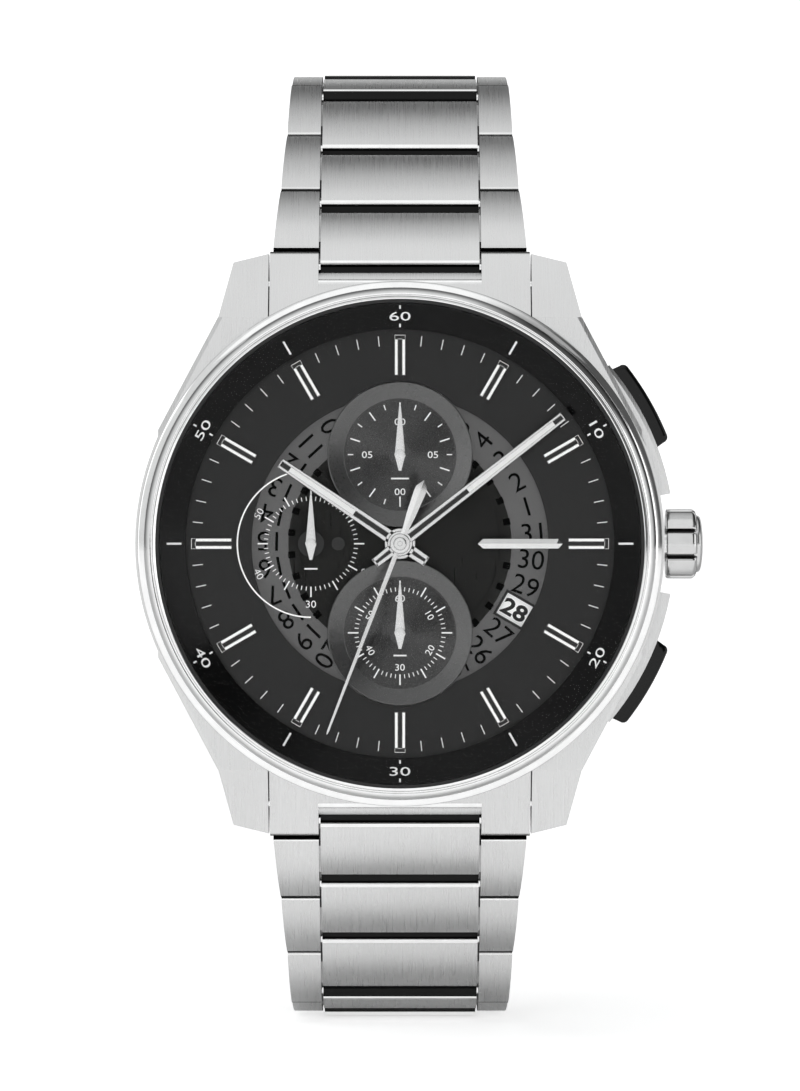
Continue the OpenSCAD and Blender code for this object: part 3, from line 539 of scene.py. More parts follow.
# The figure in the window is smaller and bolder, as in the picture
bm = bmesh.new()
for day in range(1, DAYS + 1):
    a = WINDOW_TURN + (day - TODAY) * 360 / DAYS
    tall, wide, bold = (1.30, 1.2, 0.03) if day == TODAY else (1.62, 1.02, 0.0)
    lettering(bm, str(day), tall, turn(a, (*polar(WINDOW_AT, a), date_top)), 0.012, wide, bold)
put("date_figures", bm, print_black, "date_ring", (), 30, False)

# ---------- sub-dials ----------


def subdial(at):
    """Dished ring with a floor that is turned in fine concentric grooves."""
    top, floor = heights("subdial_rings")[1] - 0.02, dial_lo + 0.30
    profile = [(0.30, dial_lo + 0.02), (6.08, dial_lo + 0.02), (6.08, top - 0.05),
               (6.03, top - 0.01), (5.98, top), (4.74, floor + 0.05), (4.70, floor + 0.02)]
    pitch, r = 0.12, 4.62
    while r > 0.9:
        profile += [(r, floor + 0.02), (r - pitch * 0.5, floor)]
        r -= pitch
    profile += [(0.36, floor + 0.02), (0.30, floor)]
    bm = bmesh.new()
    lathe(bm, profile, 160, at)
    for f in bm.faces:
        mid = f.calc_center_median()
        f.material_index = int(math.hypot(mid.x - at[0], mid.y - at[1]) > 4.66)
    return bm, floor + 0.022


bm, SUB_Z = subdial(TWELVE.xy)
low, SUB_Z = subdial(SIX.xy)
join(bm, low)
put("subdial_dishes", bm, [disc_black, ring_black], "case", ["subdial_rings"], 12,
    False)

bm = bmesh.new()
for k in range(20):
    size, wide = (0.85, 0.11) if k % 2 == 0 else (0.45, 0.09)
    bar(bm, size, wide, SUB_Z, SUB_Z + 0.012, turn(90 - k * 18, (TWELVE.x, TWELVE.y, 0))
        @ Matrix.Translation((4.36 - size / 2, 0, 0)))
for words, x, y in (("00", 0, 2.75), ("05", -2.75, 0), ("05", 2.75, 0), ("00", 0, -3.1)):
    lettering(bm, words, 0.56, turn(0, (TWELVE.x + x, TWELVE.y + y, SUB_Z)), 0.012, 1.2)
bar(bm, 1.5, 0.13, SUB_Z, SUB_Z + 0.012, turn(0, (TWELVE.x, TWELVE.y - 2.0, 0)))
for k in range(60):
    long = k % 5 == 0
    outer, wide = (4.36, 0.12) if long else (3.82, 0.07)
    bar(bm, outer - 3.48, wide, SUB_Z, SUB_Z + 0.012, turn(90 - k * 6, (SIX.x, SIX.y, 0))
        @ Matrix.Translation(((outer + 3.48) / 2, 0, 0)))
for k in range(6):
    lettering(bm, str(k * 10 or 60), 0.56, readable(2.88, k * 60, SIX, SUB_Z), 0.012, 1.1)
bar(bm, 1.1, 0.13, SUB_Z, SUB_Z + 0.012, turn(0, (SIX.x, SIX.y - 1.9, 0)))
put("subdial_print", bm, white_print_with_painted_glow, "case", (), 30, False)

bm = bmesh.new()
wz = window_top + 0.004
for k in range(60):
    long = k % 5 == 0
    outer, wide = (4.46, 0.12) if long else (3.95, 0.07)
    bar(bm, outer - 3.6, wide, wz, wz + 0.012, turn(90 - k * 6, (NINE.x, NINE.y, 0))
        @ Matrix.Translation(((outer + 3.6) / 2, 0, 0)))
for k in range(6):
    lettering(bm, str(k * 10 or 60), 0.6, readable(5.05, k * 60, NINE, wz), 0.012, 1.1)
bar(bm, 1.1, 0.13, wz, wz + 0.012, turn(0, (NINE.x, NINE.y - 2.1, 0)))
put("minute_counter_print", bm, white_print_with_painted_glow, "case", (), 30, False)

# The thin raised line round the left of the minute counter
bm = bmesh.new()
first, last, n = 108, 270, 90
lines = [[], [], [], []]
for k in range(n + 1):
    a = first + (last - first) * k / n
    for row, (r, z) in enumerate(((6.07, dial_top - 0.38), (6.23, dial_top - 0.38),
                                  (6.21, dial_top + 0.06), (6.09, dial_top + 0.06))):
        lines[row].append(bm.verts.new((NINE.x + polar(r, a).x, NINE.y + polar(r, a).y, z)))
for k in range(n):
    for row in range(4):
        p, q = lines[row], lines[(row + 1) % 4]
        bm.faces.new((p[k], p[k + 1], q[k + 1], q[k]))
for k in (0, n):
    bm.faces.new([row[k] for row in lines])
put("minute_counter_arc", bm, hand_metal, "case", (), 30, False)

bm = bmesh.new()
turned(bm, [(0, wz), (1.1, wz), (1.1, wz + 0.015), (0, wz + 0.015)], 64, (NINE.x, NINE.y))
turned(bm, [(0, wz), (0.55, wz), (0.55, wz + 0.015), (0, wz + 0.015)], 48,
       (NINE.x + 2.28, NINE.y))
put("minute_counter_hub", bm, black_paint_and_shade, "case", (), 30, False)

# Frame round the date window
bm = bmesh.new()
for side in (-1, 1):
    bar(bm, 2.86, 0.22, wz, wz + 0.07, at_window @ Matrix.Translation((0, side * 1.08, 0)), 0,
        0.04)
    bar(bm, 0.22, 1.94, wz, wz + 0.07, at_window @ Matrix.Translation((side * 1.32, 0, 0)), 0,
        0.04)
put("date_window_frame", bm, black_paint_and_shade, "case", (), 30, False)

# ---------- applied markers ----------

MARK_IN, MARK_OUT = 14.07, 17.47


def baton_marker(bm, move):
    """Two bevelled rails on a dark foot, with a thin frame at the outer end."""
    frame_at = MARK_OUT - 0.36
    z = dial_top
    bar(bm, MARK_OUT - MARK_IN, 0.92, z, z + 0.09,
        move @ Matrix.Translation(((MARK_IN + MARK_OUT) / 2, 0, 0)), 1)
    for side in (-1, 1):
        bar(bm, frame_at - MARK_IN, 0.29, z + 0.02, z + 0.34,
            move @ Matrix.Translation(((MARK_IN + frame_at) / 2, side * 0.32, 0)), 0, 0.05)
        bar(bm, MARK_OUT - frame_at, 0.06, z + 0.02, z + 0.2,
            move @ Matrix.Translation(((MARK_OUT + frame_at) / 2, side * 0.43, 0)), 0, 0.02)
    bar(bm, 0.07, 0.9, z + 0.02, z + 0.2, move @ Matrix.Translation((MARK_OUT - 0.035, 0, 0)), 0,
        0.02)
    bar(bm, 0.05, 0.5, z + 0.02, z + 0.14, move @ Matrix.Translation((frame_at, 0, 0)), 0, 0.015)


bm = bmesh.new()
for k in range(12):
    baton_marker(bm, turn(k * 30))
put("hour_batons", bm, [hand_metal, black_paint_and_shade], "case", ["hour_markers"], 25,
    False)

# A plain ridged bar at 3 o'clock, on two feet
bm = bmesh.new()
z0, z1 = dial_top + 0.02, dial_top + 0.30
outline = [(6.5, 0), (6.95, 0.40), (13.25, 0.40), (13.6, 0), (13.25, -0.40), (6.95, -0.40)]
foot = [bm.verts.new((*p, z0)) for p in outline]
edge = [bm.verts.new((*p, z0 + 0.1)) for p in outline]
near, far = bm.verts.new((7.1, 0, z1)), bm.verts.new((13.1, 0, z1))
bm.faces.new(foot[::-1])
for k in range(6):
    n = (k + 1) % 6
    bm.faces.new((foot[k], foot[n], edge[n], edge[k]))
for loop in ((edge[0], edge[1], near), (edge[1], edge[2], far, near), (edge[2], edge[3], far),
             (edge[3], edge[4], far), (edge[4], edge[5], near, far), (edge[5], edge[0], near)):
    bm.faces.new(loop)
for x in (8.2, 11.4):
    turned(bm, [(0, window_top), (0.22, window_top), (0.22, z0 + 0.02), (0, z0 + 0.02)], 24,
           (x, 0))
put("plain_dial_bar", bm, polished, "case", (), 20, False)

# ---------- hands ----------


def roof(bm, half_outline, z, ridge, move):
    """Two facets rising from a thin edge to a ridge: half_outline is (along, half width)."""
    rows = []
    for y, w in half_outline:
        top = z + ridge * min(1.0, w / max(h for _, h in half_outline) + 0.25)
        rows.append([bm.verts.new(move @ Vector(p)) for p in
                     ((-w, y, z), (-w, y, z + 0.05), (0, y, top), (w, y, z + 0.05), (w, y, z))])
    for a, b in zip(rows, rows[1:]):
        for k in range(5):
            n = (k + 1) % 5
            bm.faces.new((a[k], a[n], b[n], b[k]))
    bm.faces.new(rows[0])
    bm.faces.new(rows[-1][::-1])


def rail(bm, x0, x1, y0, y1, z, h, move, mat=0, edge=0.06):
    """One long side of a slotted hand, with bevelled edges; x0 and x1 are its ends' sides."""
    low = [(x0[0], y0), (x0[1], y0), (x1[1], y1), (x1[0], y1)]
    cx = [(x0[0] + edge, y0 + edge), (x0[1] - edge, y0 + edge), (x1[1] - edge, y1 - edge),
          (x1[0] + edge, y1 - edge)]
    a = [bm.verts.new(move @ Vector((*p, z))) for p in low]
    m = [bm.verts.new(move @ Vector((*p, z + h - edge))) for p in low]
    b = [bm.verts.new(move @ Vector((*p, z + h))) for p in cx]
    for lo, hi in ((a, m), (m, b)):
        for k in range(4):
            bm.faces.new((lo[k], lo[(k + 1) % 4], hi[(k + 1) % 4], hi[k])).material_index = mat
    bm.faces.new(a[::-1]).material_index = mat
    bm.faces.new(b).material_index = mat


def big_hand(name, body, nodes, length, width, angle, z, h, lume_from, hub_r, bore):
    """Slotted baton with two rails, a lume insert near the tip and a ring-shaped hub."""
    bm = bmesh.new()
    move = turn(-angle)
    w, rail_w = width / 2, width * 0.33
    tail = 2.7
    for s in (-1, 1):
        base = sorted((s * (w * 0.84), s * (w * 0.84 - rail_w)))
        mid = sorted((s * w, s * (w - rail_w)))
        tip = sorted((s * w * 0.8, s * (w * 0.8 - rail_w * 0.72)))
        rail(bm, base, mid, -tail, 0.9, z, h, move)
        rail(bm, mid, tip, 0.9, length, z, h, move)
    rail(bm, (-w * 0.8, w * 0.8), (-w * 0.78, w * 0.78), length - 0.14, length, z, h, move, 0, 0.04)
    rail(bm, (-w * 0.84, w * 0.84), (-w * 0.84, w * 0.84), -tail, -tail + 0.2, z, h, move, 0, 0.04)
    gap0, gap1 = w - rail_w * 0.9, w * 0.8 - rail_w * 0.66
    tip_gap = 1.0
    rail(bm, (-gap0, gap0), (-gap1, gap1), lume_from, length - tip_gap, z + 0.02, h * 0.82, move, 2,
         0.02)
    rail(bm, (-gap1, gap1), (-gap1, gap1), length - tip_gap, length - 0.1, z + 0.01, h * 0.3,
         move, 1, 0.01)
    rail(bm, (-gap0, gap0), (-gap0, gap0), -tail + 0.1, lume_from, z + 0.01, h * 0.3, move, 1, 0.01)
    lathe(bm, [(bore, z), (hub_r, z), (hub_r, z + h - 0.05), (hub_r - 0.05, z + h),
               (bore + 0.04, z + h), (bore, z + h - 0.04)], 72)
    put(name, bm, [facets, black_paint_and_shade, lume], body, nodes, 24, False)


# Clockwise from 12 o'clock
HOUR_ANGLE, MINUTE_ANGLE, SECONDS_ANGLE = 304, 52, 201
hz, hz1 = heights("hour_hand")
mz, mz1 = heights("minute_hand")
sz = heights("seconds_hand")[0]
big_hand("hour_hand_facets", "hour_hand", ["hour_hand"], 12.1, 1.12, HOUR_ANGLE, hz, hz1 - hz,
         4.6, 1.3, 0.96)
big_hand("minute_hand_facets", "minute_hand", ["minute_hand"], 17.3, 1.02, MINUTE_ANGLE, mz,
         mz1 - mz, 7.2, 1.05, 0.76)

bm = bmesh.new()
move = turn(-SECONDS_ANGLE)
roof(bm, [(0, 0.2), (8, 0.15), (16.75, 0.09), (17.05, 0.015)], sz, 0.13, move)
roof(bm, [(0, 0.24), (-1.4, 0.27), (-2.6, 0.40), (-4.55, 0.50), (-5.0, 0.48), (-5.66, 0.03)],
     sz, 0.2, move)
turned(bm, [(0, sz), (0.84, sz), (0.86, sz + 0.04), (0.86, sz + 0.15), (0.78, sz + 0.22),
            (0.56, sz + 0.24), (0.52, sz + 0.30), (0.50, sz + 0.37), (0.44, sz + 0.40),
            (0.22, sz + 0.40), (0.19, sz + 0.37), (0.18, sz + 0.26), (0, sz + 0.26)], 72)
put("seconds_hand_facets", bm, facets, "seconds_hand", ["seconds_hand"], 24,
    False)


def small_hand(name, body, nodes, joint):
    """Lozenge hand with a ridge, on its arbor, with the drive wheel under the dial."""
    at = joint_at(joint)
    z = at.z
    bm = bmesh.new()
    move = turn(0, (at.x, at.y, 0))
    roof(bm, [(-1.35, 0.12), (-1.2, 0.15), (-0.2, 0.40), (0.25, 0.41), (4.0, 0.08),
              (4.2, 0.02)], z, 0.13, move)
    turned(bm, [(0, 3.8), (0.2, 3.8), (0.2, z), (0.46, z), (0.46, z + 0.11), (0.36, z + 0.14),
                (0, z + 0.14)], 40, (at.x, at.y))
    for k in range(48):
        bar(bm, 0.14, 0.13, 4.6, 4.82, turn(k * 7.5, (at.x, at.y, 0))
            @ Matrix.Translation((2.12, 0, 0)), 1)
    lathe(bm, [(0.19, 4.6), (2.06, 4.6), (2.06, 4.82), (0.19, 4.82)], 96, (at.x, at.y), 1)
    put(name, bm, [facets, brass], body, nodes, 24, False)


small_hand("tenths_hand_facets", "tenths_hand", ["tenths_hand"], "tenths_turn")
small_hand("minute_counter_facets", "minute_counter_hand", ["minute_counter_hand"],
           "minute_counter_turn")
small_hand("second_counter_facets", "second_counter_hand", ["second_counter_hand"],
           "second_counter_turn")

# ---------- crown and pushers ----------

crown_at = joint_at("crown_turn")
to_x = Matrix.Translation((0, 0, crown_at.z)) @ Matrix.Rotation(math.radians(90), 4, "Y")
bm = bmesh.new()
# Eight flutes: angle from a land's middle, radius
section = []
for k in range(8):
    mid = 22.5 + k * 45
    for off, r in ((-22.5, 2.42), (-20.6, 2.44), (-19.4, 2.60), (-18.4, 2.86), (-16.5, 2.955),
                   (-10, 2.94), (0, 2.93), (10, 2.94), (16.5, 2.955), (18.4, 2.86),
                   (19.4, 2.60), (20.6, 2.44)):
        section.append((mid + off + 22.5, r))
# Place along the axis, share of the full radius
stations = [(22.35, 0.965), (22.42, 0.995), (22.55, 1.0), (24.45, 1.0), (24.62, 0.985),
            (24.80, 0.93), (24.90, 0.84)]
rings = []
for x, k in stations:
    rings.append([bm.verts.new(Vector((x, *(polar(r * k, a)))) + Vector((0, 0, crown_at.z)))
                  for a, r in section])
for a, b in zip(rings, rings[1:]):
    for k in range(len(a)):
        n = (k + 1) % len(a)
        # Faces deep in the flutes take the near-black material: painted shade in the grooves
        in_groove_shade = max(section[k][1], section[n][1]) < 2.8
        bm.faces.new((a[k], a[n], b[n], b[k])).material_index = int(in_groove_shade)
bore = [bm.verts.new(Vector((22.35, *polar(1.5, a))) + Vector((0, 0, crown_at.z)))
        for a, _ in section]
for k in range(len(section)):
    n = (k + 1) % len(section)
    bm.faces.new((rings[0][k], bore[k], bore[n], rings[0][n]))
deep = [bm.verts.new(v.co + Vector((0.75, 0, 0))) for v in bore]
for k in range(len(section)):
    n = (k + 1) % len(section)
    bm.faces.new((bore[k], deep[k], deep[n], bore[n]))
bm.faces.new(deep)
bm.faces.new(rings[-1])
cap = bmesh.new()
turned(cap, [(0, 24.6), (2.38, 24.6), (2.40, 24.98), (2.34, 25.12), (2.2, 25.24),
             (2.05, 25.27), (1.85, 25.33), (1.2, 25.41), (0.6, 25.44), (0, 25.45)], 96)
cap.transform(to_x)
join(bm, cap)
put("crown_fluted", bm, [crown_steel, black_paint_and_shade], "crown", ["crown"], 32, True)


def pusher(name, body, sign):
    """Black cap that follows the case, on a steel stem."""
    bm = bmesh.new()
    lo, hi = heights(body)
    inner_r, outer_r, corner, soft = 22.95, 24.2, 0.5, 0.36
    inner_a, outer_a = 9.5, 9.0
    loops = []
    # six loops round off the back edge, six more the front edge
    for k in range(12):
        t = math.radians(90 * (k % 6) / 5)
        if k < 6:
            inset, z = soft * (1 - math.sin(t)), lo + soft * (1 - math.cos(t))
        else:
            inset, z = soft * (1 - math.cos(t)), hi - soft * (1 - math.sin(t))
        r = outer_r - inset
        c = outer_a - math.degrees((inset + corner) / r)
        pts = [polar(r - corner, -c) + polar(corner, -c - 90 + 18 * j) for j in range(6)]
        pts += [polar(r, -c + 2 * c * j / 10) for j in range(1, 10)]
        pts += [polar(r - corner, c) + polar(corner, c + 18 * j) for j in range(6)]
        pts += [polar(inner_r, inner_a - 2 * inner_a * j / 10) for j in range(11)]
        loops.append([bm.verts.new((q.x, q.y, z)) for q in pts])
    for low, high in zip(loops, loops[1:]):
        for j in range(len(low)):
            n = (j + 1) % len(low)
            bm.faces.new((low[j], low[n], high[n], high[j]))
    bm.faces.new(loops[0][::-1])
    bm.faces.new(loops[-1])
    stem = bmesh.new()
    turned(stem, [(0, 16.4), (0.7, 16.4), (0.75, 16.45), (0.75, 23.2), (0, 23.2)], 48)
    stem.transform(to_x)
    for f in stem.faces:
        f.material_index = 1
    join(bm, stem)
    bm.transform(turn(sign * 30))
    put(name, bm, [pusher_black, polished], body, [body], 30, True)


pusher("upper_pusher_cap", "upper_pusher", 1)
pusher("lower_pusher_cap", "lower_pusher", -1)

# ---------- bracelet ----------

PITCH, HALF_T, CENTRE_HALF, LEG_IN, GAP = 8.2, 1.45, 6.7, 6.86, 1.6
DOME = 0.40
EDGE = HALF_T - DOME


def knuckle(at, first, last, steps=5):
    """Points on the round end about a pin, between two angles."""
    return [(at + HALF_T * math.cos(math.radians(first + (last - first) * k / (steps - 1))),
             HALF_T * math.sin(math.radians(first + (last - first) * k / (steps - 1))))
            for k in range(steps)]


def domed(lo, hi, steps=16):
    """The outer face between two corners, a little crowned."""
    return [(lo + (hi - lo) * k / steps, HALF_T - DOME * (2 * k / steps - 1) ** 2)
            for k in range(steps + 1)]


def centre_outline(near, cut):
    """Side outline (along the strand, outward) of a centre bar: knuckle first, open end last."""
    full = PITCH - GAP
    end = full - cut
    return (knuckle(0, 270, 172)
            + [(near - 0.02, 0.62), (near, EDGE - 0.22), (near + 0.05, EDGE - 0.1),
               (near + 0.16, EDGE - 0.03)]
            + domed(near + 0.32, end - 0.26)
            + [(end - 0.12, EDGE - 0.03), (end - 0.03, EDGE - 0.1), (end, EDGE - 0.22),
               (end, 0.35), (full, 0.1), (full, -HALF_T + 0.12), (full - 0.12, -HALF_T)])


def leg_outline(overhang):
    """Side outline of an outer leg: open end first, knuckle last."""
    lip = GAP - overhang
    return ([(GAP + 0.12, -HALF_T), (GAP, -HALF_T + 0.12), (GAP, 0.6), (lip, EDGE - 0.22),
             (lip + 0.03, EDGE - 0.1), (lip + 0.12, EDGE - 0.03)]
            + domed(lip + 0.26, PITCH + 0.5)
            + [(PITCH + 0.64, EDGE - 0.03), (PITCH + 0.73, EDGE - 0.1), (PITCH + 0.78, EDGE - 0.22),
               (PITCH + 1.06, 0.80)] + knuckle(PITCH, 22, -90, 7))


def slab(bm, profile, x0, x1, move, shaded, bright=()):
    """A side outline swept across x; each x is a number or a function of the place along.

    The faces in the gaps and seams get the near-black steel, painted shade: those listed in shaded,
    the side at x0 and, for a centre bar, the side at x1."""
    a, b = ([bm.verts.new(move @ Vector((x(u) if callable(x) else x, u, w)))
             for u, w in profile] for x in (x0, x1))
    n = len(profile)
    bm.faces.new(a).material_index = 2
    bm.faces.new(b[::-1]).material_index = 0 if callable(x1) else 2
    for k in range(n):
        f = bm.faces.new((a[k], b[k], b[(k + 1) % n], a[(k + 1) % n]))
        f.material_index = 2 if k in shaded else 1 if k in bright else 0


def strand_widths(i):
    """Half width of the bracelet at a link's two ends."""
    halves = (10.7, 10.14, 9.74, 9.48, 9.24, 9.0)
    return halves[min(i, 5)], halves[min(i + 1, 5)]


def link(side, i):
    body = f"{side}_link_{i + 1}"
    a = joint_at(f"{side}_link_{i + 1}_bend")
    if i < 7:
        b = joint_at(f"{side}_link_{i + 2}_bend")
    else:
        b = joint_at("upper_leaf_swing")
        b = Vector((b.x, b.y if side == "upper" else -b.y, b.z))
    along = (b - a).normalized()
    out = Vector((0, -along.z, along.y)) if side == "upper" else Vector((0, along.z, -along.y))
    # columns: across, along the strand, outward
    across = along.cross(out)
    move = Matrix(((across.x, along.x, out.x, a.x), (across.y, along.y, out.y, a.y),
                   (across.z, along.z, out.z, a.z), (0, 0, 0, 1)))
    w0, w1 = strand_widths(i)
    edge = lambda u: w0 + (w1 - w0) * min(max((u - GAP) / (PITCH + HALF_T - GAP), 0), 1)
    bm = bmesh.new()
    # The listed shaded faces and the seam sides take the near-black steel: painted shade in the
    # gaps
    slab(bm, centre_outline(-1.0 if i else -0.45, 0.45 if i < 2 else 0.2), -CENTRE_HALF,
         CENTRE_HALF, move, (0, 1, 2, 3, 4, 5, 28, 29, 30), (6, 7, 8, 26, 27))
    for s in (-1, 1):
        slab(bm, leg_outline(0.5 if i else 0.0), s * LEG_IN, lambda u: s * edge(u), move,
             (1, 2, *range(25, 33)), (3, 4))
    chamfer(bm, 0.07, 2, 60)
    bridge = bmesh.new()
    prism(bridge, [(-7.3, 2.4), (7.3, 2.4), (7.3, 5.8), (-7.3, 5.8)], -0.95, 0.95)
    bridge.transform(move)
    join(bm, bridge)
    if not (side == "lower" and i == 7):
        pin = bmesh.new()
        half = w1 - 0.3
        turned(pin, [(0, -half), (0.42, -half), (0.5, -half + 0.08), (0.5, half - 0.08),
                     (0.42, half), (0, half)], 32)
        pin.transform(move @ Matrix.Translation((0, PITCH, 0))
                      @ Matrix.Rotation(math.radians(90), 4, "Y"))
        for f in pin.faces:
            f.material_index = 1
        join(bm, pin)
    put(f"{body}_brushed", bm, [brushed, polished, gap_shade_steel], body, [body], 28,
        True)


for side in ("upper", "lower"):
    for i in range(8):
        link(side, i)


# Height of an end link's lip over the first centre bar, the fall of its sloping face, and where
# and how fast that face rolls off
END_LIP, END_SLOPE, ROLL_FROM, ROLL = 22.78, 0.62, 20.9, 0.105
# Its back wall, its top edge at the case, its top, its underside and the underside's far end
BACK, CASE_EDGE, BLOCK_TOP, BLOCK_LOW, EAR_FOOT = 20.6, 18.95, 7.85, 1.95, 22.0
SEAT_R, EAR_HALF = 21.02, 10.95


def end_link(side, s):
    """A block between the lugs whose ears hold the first link; s is 1 above, -1 below."""
    start = joint_at("upper_link_1_bend")
    slope = math.atan(END_SLOPE)
    along = Vector((math.cos(slope), -math.sin(slope)))
    out = Vector((math.sin(slope), math.cos(slope)))
    pin = Vector((start.y, start.z))
    corner = pin + out * HALF_T
    bm = bmesh.new()

    def top(y):
        return corner.y - END_SLOPE * (y - corner.x)

    def rolled(y):
        return top(y) - ROLL * max(0, y - ROLL_FROM) ** 2

    def side_outline(is_ear):
        """Side outline (y, z): back wall, sloping face, front end, flat underside."""
        pts = [(BACK, BLOCK_TOP), (CASE_EDGE, BLOCK_TOP)]
        if is_ear:
            for u, w in ([(0.45, HALF_T), (0.6, HALF_T - 0.03), (0.72, HALF_T - 0.12),
                          (0.78, HALF_T - 0.28), (1.06, 0.95)] + knuckle(0, 30, -95, 8)):
                pts.append(tuple(pin + along * u + out * w))
            return pts + [(EAR_FOOT, BLOCK_LOW), (BACK, BLOCK_LOW)]
        for y in [ROLL_FROM + 0.3 * k for k in range(6)] + [END_LIP - 0.08]:
            pts.append((y, rolled(y)))
        pts.append((END_LIP, rolled(END_LIP) - 0.1))
        pts += [tuple(pin + polar(GAP, 107 + 73 * k / 8)) for k in range(9)]
        return pts + [(start.y - GAP, BLOCK_LOW), (BACK, BLOCK_LOW)]

    def block(x0, x1, profile, shaded, steps=12):
        """Sweeps an outline across x; the wall next to the case follows its round flank."""
        rows = []
        for k in range(steps + 1):
            x = x0 + (x1 - x0) * k / steps
            wall = math.sqrt(SEAT_R ** 2 - x * x)
            row = []
            for y, z in profile:
                yy, zz = max(y, wall), z
                if y == CASE_EDGE:
                    zz = min(BLOCK_TOP, top(yy))
                elif y == BACK:
                    yy = wall
                    if z == BLOCK_TOP:
                        zz = min(BLOCK_TOP, top(max(CASE_EDGE, wall)))
                row.append(bm.verts.new((x, s * yy, zz)))
            rows.append(row)
        for a, b in zip(rows, rows[1:]):
            for k in range(len(profile)):
                n = (k + 1) % len(profile)
                if max((a[k].co - a[n].co).length, (b[k].co - b[n].co).length) > 1e-6:
                    f = bm.faces.new((a[k], b[k], b[n], a[n]))
                    f.material_index = int(k in shaded)
        bm.faces.new(rows[0])
        bm.faces.new(rows[-1][::-1])

    # The faces under the lip and round the ears' knuckles take the near-black steel: painted shade
    # in the gaps
    block(-LEG_IN, LEG_IN, side_outline(False), range(9, 18))
    for t in (-1, 1):
        block(t * LEG_IN, t * EAR_HALF, side_outline(True), range(5, 14))
    bmesh.ops.remove_doubles(bm, verts=bm.verts, dist=1e-4)
    put(f"{side}_end_link", bm, [brushed, gap_shade_steel], "case",
        ["end_links"] if side == "upper" else (), 28, True)


end_link("upper", 1)
end_link("lower", -1)

# ---------- stage, light and camera ----------

# A sheet of paper that lies under the watch and curves up behind it (metres)
front, back, rise, turn_r, half_wide = -2.2, 2.2, 1.5, 0.6, 2.4
paper_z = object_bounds()[0].z - 0.0002
bm = bmesh.new()
profile = [(front, 0.0), (back - turn_r, 0.0)]
for k in range(1, 13):
    a = math.radians(90 * k / 12)
    profile.append((back - turn_r + turn_r * math.sin(a), turn_r - turn_r * math.cos(a)))
profile.append((back, rise))
left = [bm.verts.new((-half_wide, y, z + paper_z)) for y, z in profile]
right = [bm.verts.new((half_wide, y, z + paper_z)) for y, z in profile]
for k in range(len(profile) - 1):
    bm.faces.new((left[k], right[k], right[k + 1], left[k + 1])).smooth = True
me = bpy.data.meshes.new("sweep")
bm.to_mesh(me)
bm.free()
sweep = bpy.data.objects.new("studio_sweep", me)
scene.collection.objects.link(sweep)
paper = surface("studio_paper", (0.86, 0.86, 0.86), 0.8, 0.0, (900, 900, 900), 0.05, 0.00002,
                shade=0.01)
me.materials.append(paper)

# The paper glows a little, as on a lit table; what the steel sees of it fades toward the back
GLOW_TO_CAMERA, GLOW_TO_STEEL = 0.55, 0.62
nt = paper.node_tree
path = nt.nodes.new("ShaderNodeLightPath")
spot = nt.nodes.new("ShaderNodeNewGeometry")
split = nt.nodes.new("ShaderNodeSeparateXYZ")
nt.links.new(spot.outputs["Incoming"], split.inputs["Vector"])
fade = nt.nodes.new("ShaderNodeMapRange")
fade.interpolation_type = "SMOOTHSTEP"
for key, value in (("From Min", -0.50), ("From Max", 0.05), ("To Min", 0.0),
                   ("To Max", GLOW_TO_STEEL)):
    fade.inputs[key].default_value = value
nt.links.new(split.outputs["Y"], fade.inputs["Value"])
glow = nt.nodes.new("ShaderNodeMix")
nt.links.new(path.outputs["Is Camera Ray"], glow.inputs[0])
nt.links.new(fade.outputs["Result"], glow.inputs[2])
glow.inputs[3].default_value = GLOW_TO_CAMERA
nt.links.new(glow.outputs[0], nt.nodes["Principled BSDF"].inputs["Emission Strength"])
nt.nodes["Principled BSDF"].inputs["Emission Color"].default_value = (1, 1, 1, 1)


def softbox(name, at, aim, size, power):
    light = bpy.data.lights.new(name, "AREA")
    light.shape, light.size, light.size_y = "RECTANGLE", size[0], size[1]
    light.energy = power
    o = bpy.data.objects.new(name, light)
    o.location = at
    o.rotation_mode = "QUATERNION"
    o.rotation_quaternion = (Vector(aim) - Vector(at)).to_track_quat("-Z", "Y")
    scene.collection.objects.link(o)


softbox("overhead", (0, -0.20, 0.52), (0, 0.02, 0), (0.9, 0.42), 0.42)
softbox("front", (0, -0.95, 0.10), (0, 0, 0), (0.7, 0.7), 0.42)
softbox("left_key", (-0.47, -0.58, 0.10), (0, 0, 0), (0.26, 0.5), 0.30)
softbox("right_edge", (0.70, -0.16, 0.05), (0, 0, 0), (0.28, 0.6), 0.60)

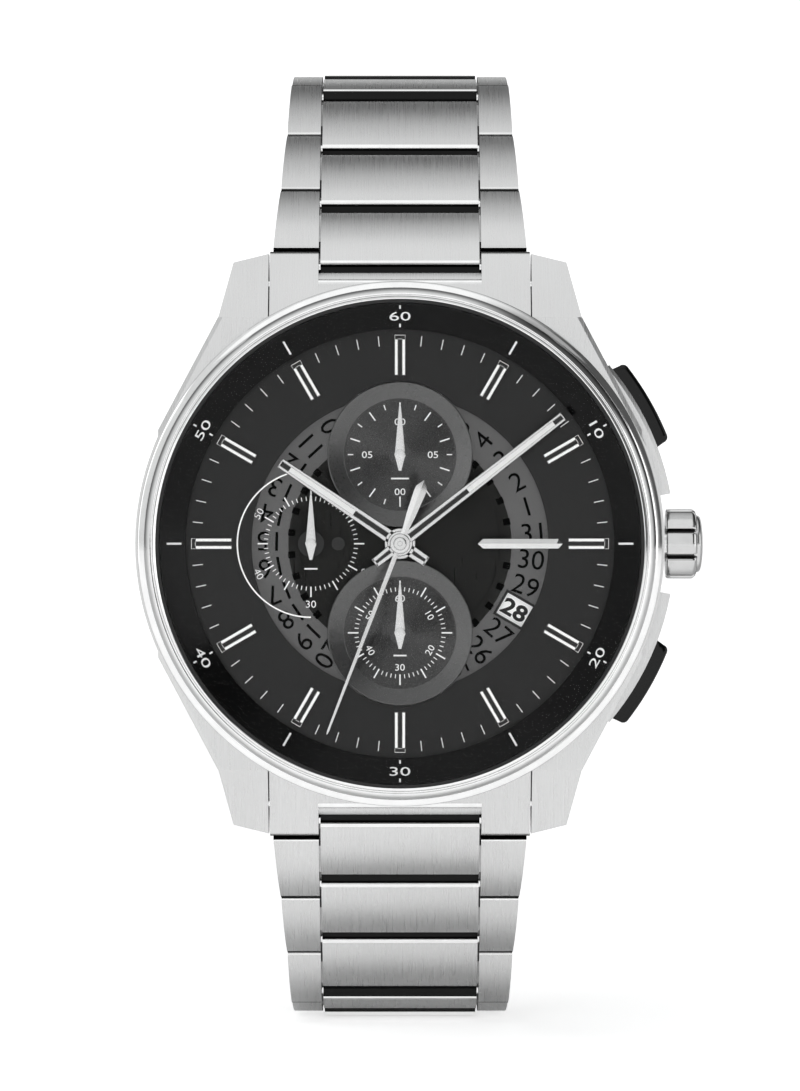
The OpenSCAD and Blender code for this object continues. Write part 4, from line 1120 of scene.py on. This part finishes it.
world = bpy.data.worlds.new("studio")
scene.world = world
world.use_nodes = True
nt = world.node_tree
way = nt.nodes.new("ShaderNodeTexCoord")
split = nt.nodes.new("ShaderNodeSeparateXYZ")
nt.links.new(way.outputs["Generated"], split.inputs["Vector"])
# Bright in front and overhead, dark behind, and a dark screen to the right of the camera;
# the camera itself sees white
levels = []
for axis, values in (("Y", (0.10, 0.62, 0.84, 0.14)), ("X", (0.22, 0.5, 1.0, 0.12)),
                     ("X", (0.8, 0.95, 0.0, 0.9))):
    level = nt.nodes.new("ShaderNodeMapRange")
    level.interpolation_type = "SMOOTHSTEP"
    for key, value in zip(("From Min", "From Max", "To Min", "To Max"), values):
        level.inputs[key].default_value = value
    nt.links.new(split.outputs[axis], level.inputs["Value"])
    levels.append(level.outputs["Result"])
side = nt.nodes.new("ShaderNodeMath")
side.operation = "ADD"
nt.links.new(levels[1], side.inputs[0])
nt.links.new(levels[2], side.inputs[1])
both = nt.nodes.new("ShaderNodeMath")
both.operation = "MULTIPLY"
nt.links.new(levels[0], both.inputs[0])
nt.links.new(side.outputs[0], both.inputs[1])
sight = nt.nodes.new("ShaderNodeLightPath")
seen = nt.nodes.new("ShaderNodeMix")
nt.links.new(sight.outputs["Is Camera Ray"], seen.inputs[0])
nt.links.new(both.outputs[0], seen.inputs[2])
seen.inputs[3].default_value = 1.0
nt.links.new(seen.outputs[0], nt.nodes["Background"].inputs["Strength"])
nt.nodes["Background"].inputs["Color"].default_value = (0.99, 1.0, 1.0, 1)

# Camera: head-on, level with the crown, far enough back to flatten the bracelet's curve
DIAL_TO_EYE, PICTURE_HIGH, EYE_DROP = 470, 91.2, 0.15
eye_y = -(dial_top + DIAL_TO_EYE) / 1000
cam = bpy.data.cameras.new("camera")
cam.sensor_fit = "VERTICAL"
cam.sensor_height = 36
cam.lens = 36 * DIAL_TO_EYE / PICTURE_HIGH
cam.clip_start, cam.clip_end = 0.01, 10
eye = bpy.data.objects.new("camera", cam)
eye.location = (0, eye_y, -EYE_DROP / 1000)
eye.rotation_euler = (math.radians(90), 0, 0)
scene.collection.objects.link(eye)
scene.camera = eye
scene.view_settings.view_transform = "Standard"
